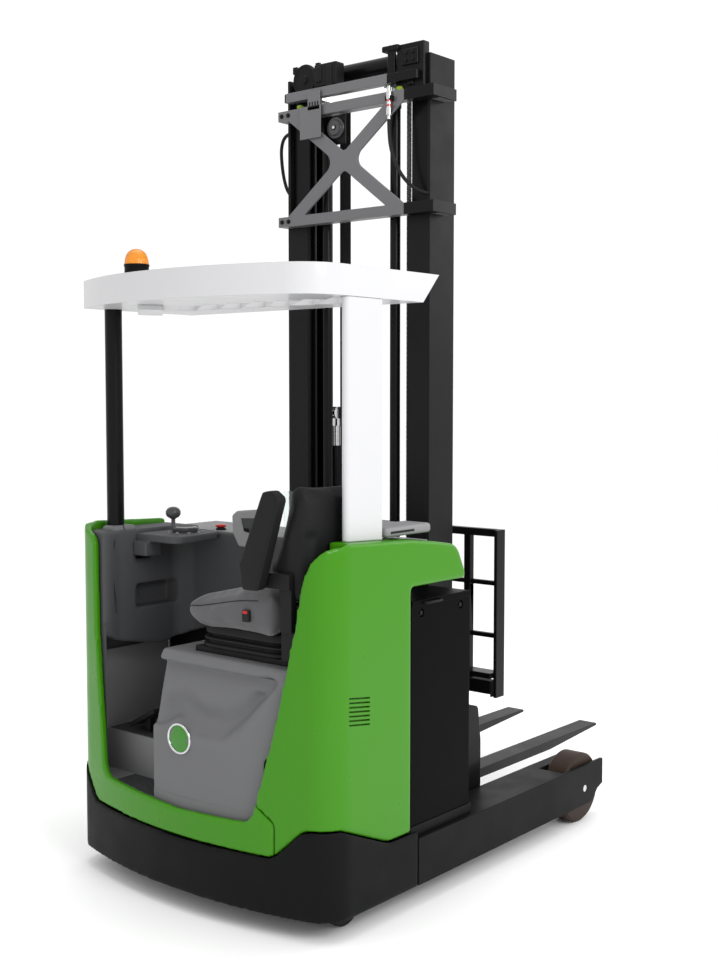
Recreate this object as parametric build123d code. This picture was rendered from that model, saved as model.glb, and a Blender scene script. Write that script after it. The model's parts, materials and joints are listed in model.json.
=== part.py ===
from build123d import *
import math
import os

# Reach truck: outrigger legs, stand-off cab with a sideways seat, battery, reaching triplex mast.
# Millimetres. While it is modelled, X = 0 is the load-wheel axle, +X points to the fork tips,
# +Y to the truck's left and Z = 0 is the floor. Each node is moved by ORIGIN_X when it is saved,
# so that the saved origin lies under the middle of the whole truck.

# Driving sizes of the truck
WIDTH = 1270.0
WHEELBASE = 1430.0
REAR_OVERHANG = 268.0
LEG_FRONT = 144.0
LEG_WIDTH = 180.0
LEG_BOTTOM = 74.0
LEG_TOP = 240.0
SKIRT_BOTTOM = 72.0
ROOF_TOP = 2182.0
ROOF_HEIGHT = 100.0
MAST_TOP = 3030.0
FORK_LENGTH = 1150.0
FORK_TOP = 200.0
HALF = WIDTH / 2
REAR_X = -WHEELBASE - REAR_OVERHANG

# Clearances
SEAT_GAP = 0.3
RUN_GAP = 6.0
SEAM = 3.0

# Load wheels
LOAD_R = 142.5
LOAD_W = 98.0
LOAD_AXLE_R = 14.0
CHEEK = 15.0
WHEEL_SIDE_GAP = 6.0
LOAD_Y = HALF - CHEEK - WHEEL_SIDE_GAP - LOAD_W / 2

# Battery, tray and bulkhead
BATTERY = (353.0, WIDTH - 47.0, 784.0)
BATTERY_BASE = LEG_TOP + 38.0
BATTERY_REAR = -WHEELBASE + 267.0
BATTERY_FRONT = BATTERY_REAR + BATTERY[0]
WALL = 12.0
BULKHEAD_X = BATTERY_REAR - SEAM
CAB_FRONT = BULKHEAD_X - WALL

# Body shell
SKIRT_WALL = 16.0
PANEL_INSET = 6.0
PANEL = 26.0
REAR_BOW = 2000.0
CORNER_R = 120.0
DECK_TOP = 1292.0
DECK_FALL = 15.0
DECK_LIP = DECK_TOP - 30.0
DESK_TOP = DECK_TOP - 47.0
CHASSIS_TOP = DESK_TOP - 65.0
HOOD_LOW = BATTERY_BASE + BATTERY[2] + 51.0
HOOD_FRONT = BATTERY_FRONT - 52.0
HOOD_DEPTH = 140.0
SILL_TOP = 352.0
LINER_Y = HALF - PANEL_INSET - PANEL

# Cab fittings
FLOOR_Z = 500.0
STEP_Z = FLOOR_Z - 150.0
STEP_EDGE = REAR_X + 193.0
CONSOLE_Y = (-HALF + 155.0, 146.0)
CONSOLE_TOP = 878.0
CONSOLE_LOW = SILL_TOP + 20.0
SEAT_X = -WHEELBASE + 30.0
SEAT_W = 420.0
SEAT_BASE_TOP = CONSOLE_TOP + 97.0
SEAT_REAR = CONSOLE_Y[0] + 92.0
SEAT_FRONT = 43.0
BACK_W = 400.0
BACK_LOW = SEAT_BASE_TOP + 115.0
ARM_PIVOT = (SEAT_REAR + 63.0, SEAT_BASE_TOP + 195.0)
ARM_X = (SEAT_X - 272.0, SEAT_X - 228.0)

# Roof, pillar and post
ROOF_HALF = HALF - 56.0
ROOF_REAR = REAR_X - 34.0
ROOF_BOW = 1250.0
ROOF_CORNER = 170.0
ROOF_NOSE = 110.0
ROOF_FRONT = BATTERY_REAR + 200.0
ROOF_RAKE = 93.0
ROOF_PLATE = 20.0
ROOF_SLOTS = 7
ROOF_SLOT_PITCH = 107.0
ROOF_SLOT_DRIFT = 12.0
POST_R = 32.0
POST_XY = (REAR_X + 213.0, HALF - 95.0)
PILLAR_X = (REAR_X + 211.0, REAR_X + 422.0)
PILLAR_T = 62.0

# Mast
LEG_IN = HALF - LEG_WIDTH
MAST_REAR = BATTERY_FRONT + 90.0
MAST_DEPTH = 157.0
MAST_FRONT = MAST_REAR + MAST_DEPTH
OUTER_Y = LEG_IN - 97.0
FLANGE = 14.0
FLANGE_IN = OUTER_Y - 106.0
STAGE_T = 12.0
MAST_FOOT = SKIRT_BOTTOM
TIE_REAR = MAST_REAR - 50.0
TIE_Y = (-OUTER_Y - 51.0, OUTER_Y + 8.0)
TIE_H = 40.0
TIE_LOW = MAST_TOP - 590.0
TIE_HIGH = MAST_TOP - 170.0
MIDDLE_TIE = MAST_TOP - 99.0
CROSS_TUBE_Z = MAST_TOP + 10.0
CROSS_TUBE_R = 36.0

# Lift cylinders and chains
RAM_Y = FLANGE_IN - 80.0
MAIN_X = MAST_REAR + 30.0
MAIN_R = 20.0
FREE_X = MAST_REAR + 84.0
FREE_R = 22.0
ROD_R = 14.0
ROD_GAP = 2.5
ROD_FIT = 0.06
GLAND = 46.0
CHAIN_X = MAST_REAR + 68.0
CHAIN_Y = FLANGE_IN - 43.0

# Fork carriage, tilt frame, side shift and forks
CARRIAGE_Y = FLANGE_IN - 16.0
CARRIAGE_Z = (FORK_TOP - 28.0, FORK_TOP + 436.0)
ROLLER_R = 28.2
TILT_PIVOT = (MAST_FRONT + 63.0, FORK_TOP)
FORK_Y = LEG_IN - 251.0
FORK_W = 92.0
FORK_T = 40.0
FORK_FACE = MAST_FRONT + 195.0
BACKREST_TOP = 1238.0
BACKREST_HALF = HALF - 157.0

# Drive wheel and castor
DRIVE_Y = -20.0
DRIVE_R = 171.5
DRIVE_W = 114.0
CASTOR_Y = -HALF + 112.0
CASTOR_R = 70.0
CASTOR_W = 50.0
CASTOR_TRAIL = 16.0

FORK_TIP = FORK_FACE + FORK_LENGTH
ORIGIN_X = -(ROOF_REAR + FORK_TIP) / 2

os.makedirs("parts", exist_ok=True)


def box(x0, x1, y0, y1, z0, z1):
    """A block between two corners."""
    size = Box(x1 - x0, y1 - y0, z1 - z0)
    return Pos((x0 + x1) / 2, (y0 + y1) / 2, (z0 + z1) / 2) * size


def tube_z(x, y, z0, z1, radius, bore=0.0):
    """An upright round bar, hollow where a bore is given."""
    solid = Pos(x, y, (z0 + z1) / 2) * Cylinder(radius, z1 - z0)
    if bore:
        solid -= Pos(x, y, (z0 + z1) / 2) * Cylinder(bore, z1 - z0)
    return solid


def bar_y(x, z, y0, y1, radius, bore=0.0):
    """A round bar across the truck."""
    place = Pos(x, (y0 + y1) / 2, z) * Rot(90, 0, 0)
    solid = place * Cylinder(radius, y1 - y0)
    if bore:
        solid -= place * Cylinder(bore, y1 - y0)
    return solid


def bar_x(y, z, x0, x1, radius):
    """A round bar along the truck."""
    return Pos((x0 + x1) / 2, y, z) * Rot(0, 90, 0) * Cylinder(radius, x1 - x0)


def outline(points):
    """A closed face through points; a third number on a point rounds that corner."""
    face = make_face(Polyline(*[p[:2] for p in points], close=True))
    for place in points:
        if len(place) == 3:
            near = min(face.vertices(), key=lambda v: math.hypot(v.X - place[0], v.Y - place[1]))
            face = fillet([near], place[2])
    return face


def side_profile(points, y0, y1):
    """A plate or body cut to an outline in X and Z, from y0 to y1."""
    return Pos(0, y1, 0) * extrude(Plane.XZ * outline(points), y1 - y0)


def rear_profile(points, x0, x1):
    """A plate or body cut to an outline in Y and Z, from x0 to x1."""
    return Pos(x0, 0, 0) * extrude(Plane.YZ * outline(points), x1 - x0)


def plan_profile(points, z0, z1):
    """A plate or body cut to an outline in X and Y, from z0 to z1."""
    return Pos(0, 0, z0) * extrude(outline(points), z1 - z0)



def mirror_y(solid):
    """The same piece on the truck's other side."""
    return mirror(solid, about=Plane.XZ)


def both(solid):
    """A piece and its twin on the other side."""
    return Compound([solid, mirror_y(solid)])


def bowed_face(rear, front, half, bow):
    """A plan with straight sides and front and a bowed rear."""
    base = Pos((rear + front) / 2, 0) * Rectangle(front - rear, 2 * half)
    return base & Pos(rear + bow, 0) * Circle(bow)


def bowed_plan(rear, front, half, bow, corner, z0, z1):
    """A body with straight sides, a bowed rear and rounded rear corners."""
    face = bowed_face(rear, front, half, bow)
    corners = [v for v in face.vertices() if v.X < (rear + front) / 2 and abs(v.Y) > half - 1]
    return Pos(0, 0, z0) * extrude(fillet(corners, corner), z1 - z0)



def body_plan(inset, front, z0, z1):
    """The cab's bowed outline, drawn in by an inset."""
    corner = CORNER_R - inset
    return bowed_plan(REAR_X + inset, front, HALF - inset, REAR_BOW, corner, z0, z1)


def body_shell(inset, wall, front, z0, z1):
    """A standing wall that follows the cab's outline."""
    return body_plan(inset, front, z0, z1) - body_plan(inset + wall, front + 1, z0, z1)


def save(name, shape):
    """Moves a finished node to the saved origin and writes it."""
    solids = shape.solids() if not isinstance(shape, Solid) else [shape]
    whole = Pos(ORIGIN_X, 0, 0) * (Compound(list(solids)) if len(solids) > 1 else solids[0])
    export_step(whole, f"parts/{name}.step")


# Outrigger legs and chassis

LEG_BACK = -WHEELBASE + 285.0
GROOVE_DEPTH = 35.0
GROOVE_Z = (97.0, 217.0)
LEG_TOE = 14.0
WELL_BACK = -WHEEL_SIDE_GAP - LOAD_R - 12.0


def leg():
    """Left leg: box beam, roller groove on its inner side, wheel well and notched toe."""
    beam_line = [
        (LEG_BACK, LEG_BOTTOM), (LEG_FRONT - 92, LEG_BOTTOM), (LEG_FRONT - 40, LEG_BOTTOM + 46),
        (LEG_FRONT, LEG_BOTTOM + 60), (LEG_FRONT, LEG_TOP), (LEG_BACK, LEG_TOP),
    ]
    beam = side_profile(beam_line, LEG_IN, HALF)
    groove = box(LEG_BACK - 1, LEG_FRONT - LEG_TOE, LEG_IN - 1, LEG_IN + GROOVE_DEPTH, *GROOVE_Z)
    well_half = LOAD_W / 2 + WHEEL_SIDE_GAP
    well = box(WELL_BACK, LOAD_R + 400, LOAD_Y - well_half, LOAD_Y + well_half, 0, LEG_TOP + 1)
    axle_hole = bar_y(0, LOAD_R, LEG_IN + GROOVE_DEPTH - 1, HALF + 1, LOAD_AXLE_R)
    return beam - groove - well - axle_hole


def load_axle():
    """Left load wheel's fixed axle, with a head in the outer cheek."""
    return bar_y(0, LOAD_R, LEG_IN + GROOVE_DEPTH, HALF - 2, LOAD_AXLE_R - SEAT_GAP / 2)


def load_wheel():
    """Left load wheel: polyurethane roller with chamfered edges on a bored hub."""
    half = LOAD_W / 2
    bore = LOAD_AXLE_R - SEAT_GAP / 2 + 0.06
    section = make_face(Polyline(
        (bore, -half), (LOAD_R - 9, -half), (LOAD_R, -half + 9), (LOAD_R, half - 9),
        (LOAD_R - 9, half), (60, half), (56, half - 14), (34, half - 14), (30, half), (bore, half),
        close=True,
    ))
    turned = revolve(Plane.XY * section, Axis.Y)
    return Pos(0, LOAD_Y, LOAD_R) * turned


left_leg = leg()
save("leg_left", left_leg)
save("leg_right", mirror_y(left_leg))
save("load_axles", both(load_axle()))
wheel = load_wheel()
save("load_wheel_left", wheel)
save("load_wheel_right", mirror_y(wheel))

ARCH_R = math.hypot(DRIVE_R, DRIVE_W / 2) + 14
CASTOR_PIVOT = (-WHEELBASE + CASTOR_TRAIL, CASTOR_Y)
TURNTABLE_Z = 2 * DRIVE_R + 20
BASE_Z = (104.0, 116.0)
CASTOR_TOP = 176.0
CASTOR_SWEEP = math.hypot(CASTOR_R + CASTOR_TRAIL, CASTOR_W / 2) + 12


def chassis_frame():
    """Floor plate, cab bulkhead, battery tray, drive mounting and castor box in one weldment."""
    inner = SKIRT_WALL + PANEL_INSET + PANEL + 2
    floor = body_plan(SKIRT_WALL + 1, LEG_BACK, *BASE_Z)
    floor -= tube_z(-WHEELBASE, DRIVE_Y, 0, 300, ARCH_R)
    floor -= tube_z(*CASTOR_PIVOT, 0, 300, CASTOR_SWEEP)
    side = HALF - inner
    bulkhead = box(BULKHEAD_X - WALL, BULKHEAD_X, -side, side, BASE_Z[1], CHASSIS_TOP)
    tray = box(BULKHEAD_X - WALL, BATTERY_REAR + BATTERY[0] + 12, -HALF + 22, HALF - 22,
               LEG_TOP, BATTERY_BASE)
    beam = box(LEG_BACK, LEG_BACK + 60, -LEG_IN, LEG_IN, LEG_BOTTOM + 20, LEG_TOP)
    ring = tube_z(-WHEELBASE, DRIVE_Y, TURNTABLE_Z, TURNTABLE_Z + 22, 130, 95)
    shelf = box(-WHEELBASE - 160, BULKHEAD_X - WALL, DRIVE_Y - 190, DRIVE_Y + 130,
                TURNTABLE_Z + 22, TURNTABLE_Z + 34)
    shelf -= tube_z(-WHEELBASE, DRIVE_Y, 0, 900, 106)
    webs = Compound([
        box(-WHEELBASE + ARCH_R + 2, BULKHEAD_X - WALL, y, y + 8, BASE_Z[1], TURNTABLE_Z + 22)
        for y in (DRIVE_Y - 190, DRIVE_Y + 122)
    ])
    castor_roof = box(-WHEELBASE - 120, -WHEELBASE + 130, CASTOR_Y - 57, CASTOR_Y + 293,
                      CASTOR_TOP, CASTOR_TOP + 14)
    castor_webs = Compound([
        box(x, x + 8, CASTOR_Y - 57, CASTOR_Y + 293, BASE_Z[1], CASTOR_TOP)
        for x in (-WHEELBASE - 120, -WHEELBASE + 122)
    ])
    frame = floor + bulkhead + tray + beam + ring + shelf
    for piece in webs.solids() + castor_webs.solids():
        frame += piece
    frame += castor_roof
    return frame


save("chassis_frame", chassis_frame())

# Drive unit and castor

def drive_unit():
    """Steered fork leg over the drive wheel, gearbox cheek and upright motor."""
    plate = tube_z(-WHEELBASE, DRIVE_Y, TURNTABLE_Z - 14, TURNTABLE_Z - SEAT_GAP, 140)
    neck = tube_z(-WHEELBASE, DRIVE_Y, TURNTABLE_Z - SEAT_GAP, TURNTABLE_Z + 60, 90)
    motor = tube_z(-WHEELBASE, DRIVE_Y, TURNTABLE_Z + 60, TURNTABLE_Z + 300, 100)
    cheek_y = DRIVE_Y + DRIVE_W / 2 + 6
    cheek = side_profile(
        [(-WHEELBASE - 60, TURNTABLE_Z - 14), (-WHEELBASE - 75, DRIVE_R - 40),
         (-WHEELBASE + 75, DRIVE_R - 40), (-WHEELBASE + 60, TURNTABLE_Z - 14)],
        cheek_y, cheek_y + 34,
    )
    stub = bar_y(-WHEELBASE, DRIVE_R, DRIVE_Y - DRIVE_W / 2 + 32, cheek_y, 30)
    return plate + neck + motor + cheek + stub


def drive_wheel():
    """Drive tyre on a dished disc, bored for its gearbox stub."""
    half = DRIVE_W / 2
    section = make_face(Polyline(
        (40, -half + 30), (120, -half + 18), (130, -half), (DRIVE_R - 8, -half),
        (DRIVE_R, -half + 8), (DRIVE_R, half - 8), (DRIVE_R - 8, half), (130, half),
        (120, half - 20), (120, 0), (30.06, -6), (30.06, -half + 30), close=True,
    ))
    cap = bar_y(-WHEELBASE, DRIVE_R, DRIVE_Y - half + 24, DRIVE_Y - half + 31, 34)
    return Pos(-WHEELBASE, DRIVE_Y, DRIVE_R) * revolve(Plane.XY * section, Axis.Y) + cap


save("drive_unit", drive_unit())
save("drive_wheel", drive_wheel())


def castor_fork():
    """Swivel plate with two cheeks and the wheel's pin."""
    px, py = CASTOR_PIVOT
    plate = tube_z(px, py, CASTOR_TOP - 14, CASTOR_TOP - SEAT_GAP, 48)
    ax = px - CASTOR_TRAIL
    fork = plate
    for side in (-1, 1):
        y_in = py + side * (CASTOR_W / 2 + 3)
        y_out = py + side * (CASTOR_W / 2 + 9)
        low, high = min(y_in, y_out), max(y_in, y_out)
        fork += side_profile(
            [(px - 30, CASTOR_TOP - 14), (ax - 18, CASTOR_R - 14), (ax + 18, CASTOR_R - 14),
             (px + 30, CASTOR_TOP - 14)], low, high,
        )
    fork += bar_y(ax, CASTOR_R, py - CASTOR_W / 2 - 9, py + CASTOR_W / 2 + 9, 9)
    return fork


def castor_wheel():
    """Castor wheel with rounded edges."""
    px, py = CASTOR_PIVOT
    half = CASTOR_W / 2
    section = make_face(Polyline(
        (9.06, -half), (CASTOR_R - 6, -half), (CASTOR_R, -half + 6), (CASTOR_R, half - 6),
        (CASTOR_R - 6, half), (9.06, half), close=True,
    ))
    return Pos(px - CASTOR_TRAIL, py, CASTOR_R) * revolve(Plane.XY * section, Axis.Y)


save("castor_fork", castor_fork())
save("castor_wheel", castor_wheel())

# Body panels

SKIRT_LINE = 257.0
CORNER_WING = 378.0


def skirt_region(rise):
    """Everything under the skirt's top edge, raised by a seam gap."""
    low = 40.0
    far = 2 * HALF
    line = SKIRT_LINE + rise
    wing = CORNER_WING + rise
    rear = rear_profile(
        [(-far, low), (far, low), (far, wing + 8), (HALF - 42, wing + 8, 30), (HALF - 143, line + 8, 60),
         (0, line), (-HALF + 220, line + 2, 70), (-HALF + 108, wing - 12, 60), (-far, wing - 8)],
        REAR_X - 2, -WHEELBASE - 112,
    )
    side = side_profile(
        [(-WHEELBASE - 112, low), (0, low), (0, line + 8), (CAB_FRONT + 60, line + 8),
         (-WHEELBASE + 125, line + 10, 150), (-WHEELBASE - 60, wing - 34, 60),
         (-WHEELBASE - 112, wing - 12)],
        -far, far,
    )
    return rear + side


def skirt():
    """Black bumper skirt round the cab's foot."""
    return body_shell(0, SKIRT_WALL, LEG_BACK, SKIRT_BOTTOM, CORNER_WING + 40) & skirt_region(0)


save("bumper_skirt", skirt())

OPENING = [
    (-2 * HALF, DECK_TOP + 110), (-2 * HALF, DECK_TOP), (-HALF + 99, DECK_TOP, 150),
    (-HALF + 120, DECK_TOP - 149), (-HALF + 161, 917), (-HALF + 215, 680),
    (-HALF + 307, SILL_TOP + 10, 55), (0, SILL_TOP), (HALF - 205, SILL_TOP + 24, 50),
    (HALF - 151, 911), (HALF - 146, DECK_TOP - 52, 40), (HALF - 35, DECK_TOP - 4, 30),
    (2 * HALF, DECK_TOP), (2 * HALF, DECK_TOP + 110),
]
SEAM_Y = (-HALF + 285.0, -HALF + 214.0)
SEAM_LINE = [(SEAM_Y[0], 500), (SEAM_Y[0], SILL_TOP + 72), (SEAM_Y[1], SILL_TOP + 20), (SEAM_Y[1], 200)]
VENT_TOP = 797.0
VENTS = 7
VENT_PITCH = 14.5
VENT_FALL = 15.0
VENT_SLIT = 6.0


def green_wall():
    """The whole green wall before it is split: three sides, open at the back for the driver."""
    wall = body_shell(PANEL_INSET, PANEL, CAB_FRONT, 250, DECK_TOP)
    wall -= skirt_region(2)
    wall -= rear_profile(OPENING, REAR_X - 2, -WHEELBASE - 90)
    crown = side_profile(
        [(REAR_X - 10, 100), (0, 100), (0, DECK_TOP - DECK_FALL), (CAB_FRONT, DECK_TOP - DECK_FALL),
         (REAR_X + 177, DECK_TOP), (REAR_X - 10, DECK_TOP)],
        -HALF, HALF,
    )
    return wall & crown


def hood():
    """Green hood that carries the right side forward over the battery."""
    top = DECK_TOP - DECK_FALL
    outer = side_profile(
        [(CAB_FRONT, HOOD_LOW), (HOOD_FRONT, HOOD_LOW), (HOOD_FRONT, HOOD_LOW + 30, 40),
         (HOOD_FRONT - 50, top - 38, 70), (HOOD_FRONT - 170, top - 18, 200), (CAB_FRONT, top)],
        -HALF + PANEL_INSET, -HALF + PANEL_INSET + HOOD_DEPTH,
    )
    inner = side_profile(
        [(CAB_FRONT - 1, HOOD_LOW - 1), (HOOD_FRONT - PANEL, HOOD_LOW - 1),
         (HOOD_FRONT - PANEL, HOOD_LOW + 26, 20), (HOOD_FRONT - 66, top - 66, 50),
         (HOOD_FRONT - 174, top - 44, 150), (CAB_FRONT - 1, top - PANEL)],
        -HALF + PANEL_INSET + PANEL, -HALF + PANEL_INSET + HOOD_DEPTH + 1,
    )
    return outer - inner


def vents():
    """The thin sloping slits in the right side, as one set of cutters."""
    x0, x1 = REAR_X + 187, REAR_X + 292
    slits = []
    for n in range(VENTS):
        z = VENT_TOP - n * VENT_PITCH
        slits.append(side_profile(
            [(x0, z - VENT_SLIT), (x0, z), (x1, z - VENT_FALL), (x1, z - VENT_FALL - VENT_SLIT)],
            -HALF, -HALF + PANEL_INSET + PANEL / 2))
    return slits


def right_side(solid):
    """What lies to the right of the seam in the sill."""
    cut = rear_profile(
        [(-2 * HALF, 100)] + [(y - SEAM / 2, z) for y, z in reversed(SEAM_LINE)]
        + [(SEAM_Y[0] - SEAM / 2, DECK_TOP + 110), (-2 * HALF, DECK_TOP + 110)], REAR_X - 5, 0,
    )
    return solid & cut


def left_side(solid):
    """What lies to the left of the seam in the sill."""
    cut = rear_profile(
        [(2 * HALF, 100)] + [(y + SEAM / 2, z) for y, z in reversed(SEAM_LINE)]
        + [(SEAM_Y[0] + SEAM / 2, DECK_TOP + 110), (2 * HALF, DECK_TOP + 110)], REAR_X - 5, 0,
    )
    return solid & cut


walls = green_wall()
crest = [(REAR_X + 108, DECK_TOP), (REAR_X + 177, DECK_TOP), (CAB_FRONT, DECK_TOP - DECK_FALL)]
ledge = side_profile(crest + [(CAB_FRONT, DECK_TOP - 40), (REAR_X + 108, DECK_TOP - 40)],
                     -HALF + PANEL_INSET + PANEL, -HALF + PANEL_INSET + 107)
panel_right = right_side(walls) + hood() + ledge
for slit in vents():
    panel_right -= slit
save("panel_right", panel_right)
save("panel_left", left_side(walls))

# Roof, pillar, post, lamp and beacon

ROOF_LOW = ROOF_TOP - ROOF_HEIGHT


def roof():
    """White overhead guard: bowed tray with a raked front and a slotted plate at its foot."""
    face = bowed_face(ROOF_REAR, ROOF_FRONT, ROOF_HALF, ROOF_BOW)
    middle = (ROOF_REAR + ROOF_FRONT) / 2
    right_rear = [v for v in face.vertices() if v.X < middle and v.Y < -ROOF_HALF + 1]
    face = fillet(right_rear, ROOF_CORNER)
    left_front = [v for v in face.vertices() if v.X > middle and v.Y > ROOF_HALF - 1]
    face = fillet(left_front, ROOF_NOSE)
    tray = Pos(0, 0, ROOF_LOW) * extrude(face, ROOF_HEIGHT)
    tray = tray & side_profile(
        [(ROOF_REAR - 5, ROOF_LOW - 1), (ROOF_FRONT - ROOF_RAKE, ROOF_LOW - 1), (ROOF_FRONT, ROOF_TOP),
         (ROOF_FRONT, ROOF_TOP + 5), (ROOF_REAR - 5, ROOF_TOP + 5)], -2 * HALF, 2 * HALF,
    )
    front = ROOF_FRONT - ROOF_RAKE - 46
    tray -= plan_profile(
        [(ROOF_REAR + 200, 130, 30), (ROOF_REAR + 430, ROOF_HALF - 90, 40), (front, ROOF_HALF - 90, 40),
         (front, -ROOF_HALF + 50, 40), (ROOF_REAR + 275, -ROOF_HALF + 50, 40),
         (ROOF_REAR + 200, -ROOF_HALF + 170, 40)],
        ROOF_LOW + ROOF_PLATE, ROOF_TOP + 1,
    )
    for n in range(ROOF_SLOTS):
        x = REAR_X + n * ROOF_SLOT_DRIFT
        y = ROOF_HALF - n * ROOF_SLOT_PITCH
        tray -= plan_profile(
            [(x + 200, y - 418), (x + 267, y - 455), (x + 448, y - 237), (x + 408, y - 165)],
            ROOF_LOW - 1, ROOF_TOP + 1,
        )
    return tray


save("roof", roof())


def pillar():
    """Right pillar: tapered in plan with rounded rear edges, its foot cut to the side's top edge."""
    outer = -ROOF_HALF + 1
    blade = plan_profile(
        [(PILLAR_X[0], outer, 16), (PILLAR_X[1], outer), (PILLAR_X[1], outer + PILLAR_T),
         (PILLAR_X[0] + 76, outer + PILLAR_T, 24)], DECK_TOP - 2 * DECK_FALL, ROOF_LOW,
    )
    return blade - side_profile(crest + [(CAB_FRONT, 0), (REAR_X + 108, 0)], -2 * HALF, 0)


save("pillar_right", pillar())
save("post_left", tube_z(*POST_XY, DECK_LIP, ROOF_LOW, POST_R))
LAMP_H = 18.0
lamp = plan_profile(
    [(REAR_X + 87, ROOF_HALF - 324, 10), (REAR_X + 163, ROOF_HALF - 372, 10),
     (REAR_X + 378, ROOF_HALF - 128, 10), (REAR_X + 298, ROOF_HALF - 79, 10)],
    ROOF_LOW - LAMP_H, ROOF_LOW,
)
save("roof_lamp", lamp)
BEACON_XY = (REAR_X + 180.0, ROOF_HALF - 212.0)
BEACON_R = 47.0
BEACON_FOOT = 28.0
save("beacon_base", tube_z(*BEACON_XY, ROOF_TOP, ROOF_TOP + BEACON_FOOT, BEACON_R))


def beacon_dome():
    """Amber dome: straight foot, then a rounded taper to a small flat top."""
    section = make_face(Polyline(
        (0, 0), (BEACON_R - 2, 0), (BEACON_R - 3, 22), (BEACON_R - 8, 48), (BEACON_R - 17, 68),
        (BEACON_R - 30, 79), (0, 82), close=True,
    ))
    turned = revolve(Plane.XZ * section, Axis.Z)
    return Pos(*BEACON_XY, ROOF_TOP + BEACON_FOOT) * turned


save("beacon_dome", beacon_dome())

# Cab inside: mouldings, controls, floor and seat

DASH_LOW = DECK_LIP - 449.0
DASH_Y = HALF - 165.0
DASH_X = CAB_FRONT - 27.0
LINER_T = 10.0


def dash_moulding():
    """Grey moulding on the left wall and along the bulkhead, with its storage recesses."""
    wall = plan_profile(
        [(REAR_X + 73, LINER_Y + 20), (REAR_X + 58, HALF - 115, 20), (REAR_X + 93, DASH_Y - 18, 40),
         (REAR_X + 168, DASH_Y, 60), (DASH_X - 45, DASH_Y, 50), (DASH_X, DASH_Y - 50, 40),
         (DASH_X, -60), (CAB_FRONT, -60), (CAB_FRONT, LINER_Y + 20)],
        FLOOR_Z + 10, DECK_LIP,
    )
    wall = wall & body_plan(PANEL_INSET + PANEL + 1, CAB_FRONT + 1, 0, DECK_TOP)
    front = rear_profile(
        [(-100, FLOOR_Z), (DASH_Y - 28, FLOOR_Z), (DASH_Y - 28, DASH_LOW + 30), (300, DASH_LOW + 72),
         (200, DASH_LOW + 150, 60), (90, DASH_LOW + 297), (-100, DASH_LOW + 297)], REAR_X, CAB_FRONT + 1,
    )
    side = side_profile(
        [(REAR_X - 5, FLOOR_Z), (CAB_FRONT + 1, FLOOR_Z), (CAB_FRONT + 1, DASH_LOW + 34),
         (DASH_X + 7, DASH_LOW + 31), (DASH_X - 110, DASH_LOW - 4, 90), (REAR_X + 167, DASH_LOW + 37, 200),
         (REAR_X + 60, DASH_LOW + 82), (REAR_X - 5, DASH_LOW + 110)], DASH_Y - 28, LINER_Y + 20,
    )
    desk = box(DASH_X - 20, CAB_FRONT + 1, -61, DASH_Y - 60, DESK_TOP, DECK_LIP + 1)
    bin_cut = box(REAR_X + 253, REAR_X + 455, DASH_Y - 30, DASH_Y + 60, DECK_LIP - 296, DECK_LIP - 208)
    slot = box(REAR_X + 252, REAR_X + 330, DASH_Y - 30, DASH_Y + 50, DECK_LIP - 112, DECK_LIP - 66)
    return wall - front - side - desk - bin_cut - slot


dash = dash_moulding()
save("dash_moulding", dash)
deck_in = -HALF + PANEL_INSET + HOOD_DEPTH
save("top_deck", box(CAB_FRONT, HOOD_FRONT - 40, deck_in + 1, LINER_Y, DESK_TOP - 46, DESK_TOP))

ARM_TOP = DESK_TOP + 3.0
ARM_T = 28.0


def arm_console():
    """Steering console that juts from the left moulding: a rounded plate on its mounting block."""
    x0, y0 = REAR_X + 246, DASH_Y - 232
    plate = plan_profile(
        [(x0, y0, 34), (x0 + 247, y0 + 22, 44), (x0 + 250, DASH_Y + 8), (x0 + 6, DASH_Y + 8, 8)],
        ARM_TOP - ARM_T, ARM_TOP)
    block = box(REAR_X + 234, REAR_X + 312, DASH_Y - 74, DASH_Y, ARM_TOP - 82, ARM_TOP - ARM_T)
    return plate + block


save("arm_console", arm_console() - dash)
HUB_XY = (REAR_X + 395.0, DASH_Y - 122.0)
HUB_R = 65.0
HUB_H = 20.0
hub = tube_z(*HUB_XY, ARM_TOP, ARM_TOP + HUB_H, HUB_R)
knob_face = make_face(Polyline(
    (0, 0), (10, 0), (10, 34), (22, 40), (29, 52), (27, 64), (17, 73), (0, 76), close=True))
knob = Pos(HUB_XY[0] - 22, HUB_XY[1] + 38, ARM_TOP + HUB_H) * revolve(Plane.XZ * knob_face, Axis.Z)
save("steering_knob", hub + knob)
POD_LOW = DESK_TOP - 41.0
pod = rear_profile(
    [(86, POD_LOW), (127, POD_LOW, 10), (158, POD_LOW + 51, 20), (161, POD_LOW + 114, 14),
     (137, POD_LOW + 132, 14), (44, POD_LOW + 141, 16), (22, POD_LOW + 128, 12), (48, POD_LOW + 12, 12)],
    DASH_X - 45, DASH_X)
save("display_pod", pod)

SCOOP_DEPTH = 22.0


def console_side(shift, foot):
    """The seat console's side outline, its face drawn in by a shift."""
    x = REAR_X + 18 + shift
    return [
        (x, foot), (x, foot + 188, 150), (x + 66, CONSOLE_TOP - 46, 14), (x + 56, CONSOLE_TOP - 30, 8),
        (x + 72, CONSOLE_TOP, 12), (CAB_FRONT - 2, CONSOLE_TOP), (CAB_FRONT - 2, foot),
    ]


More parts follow.
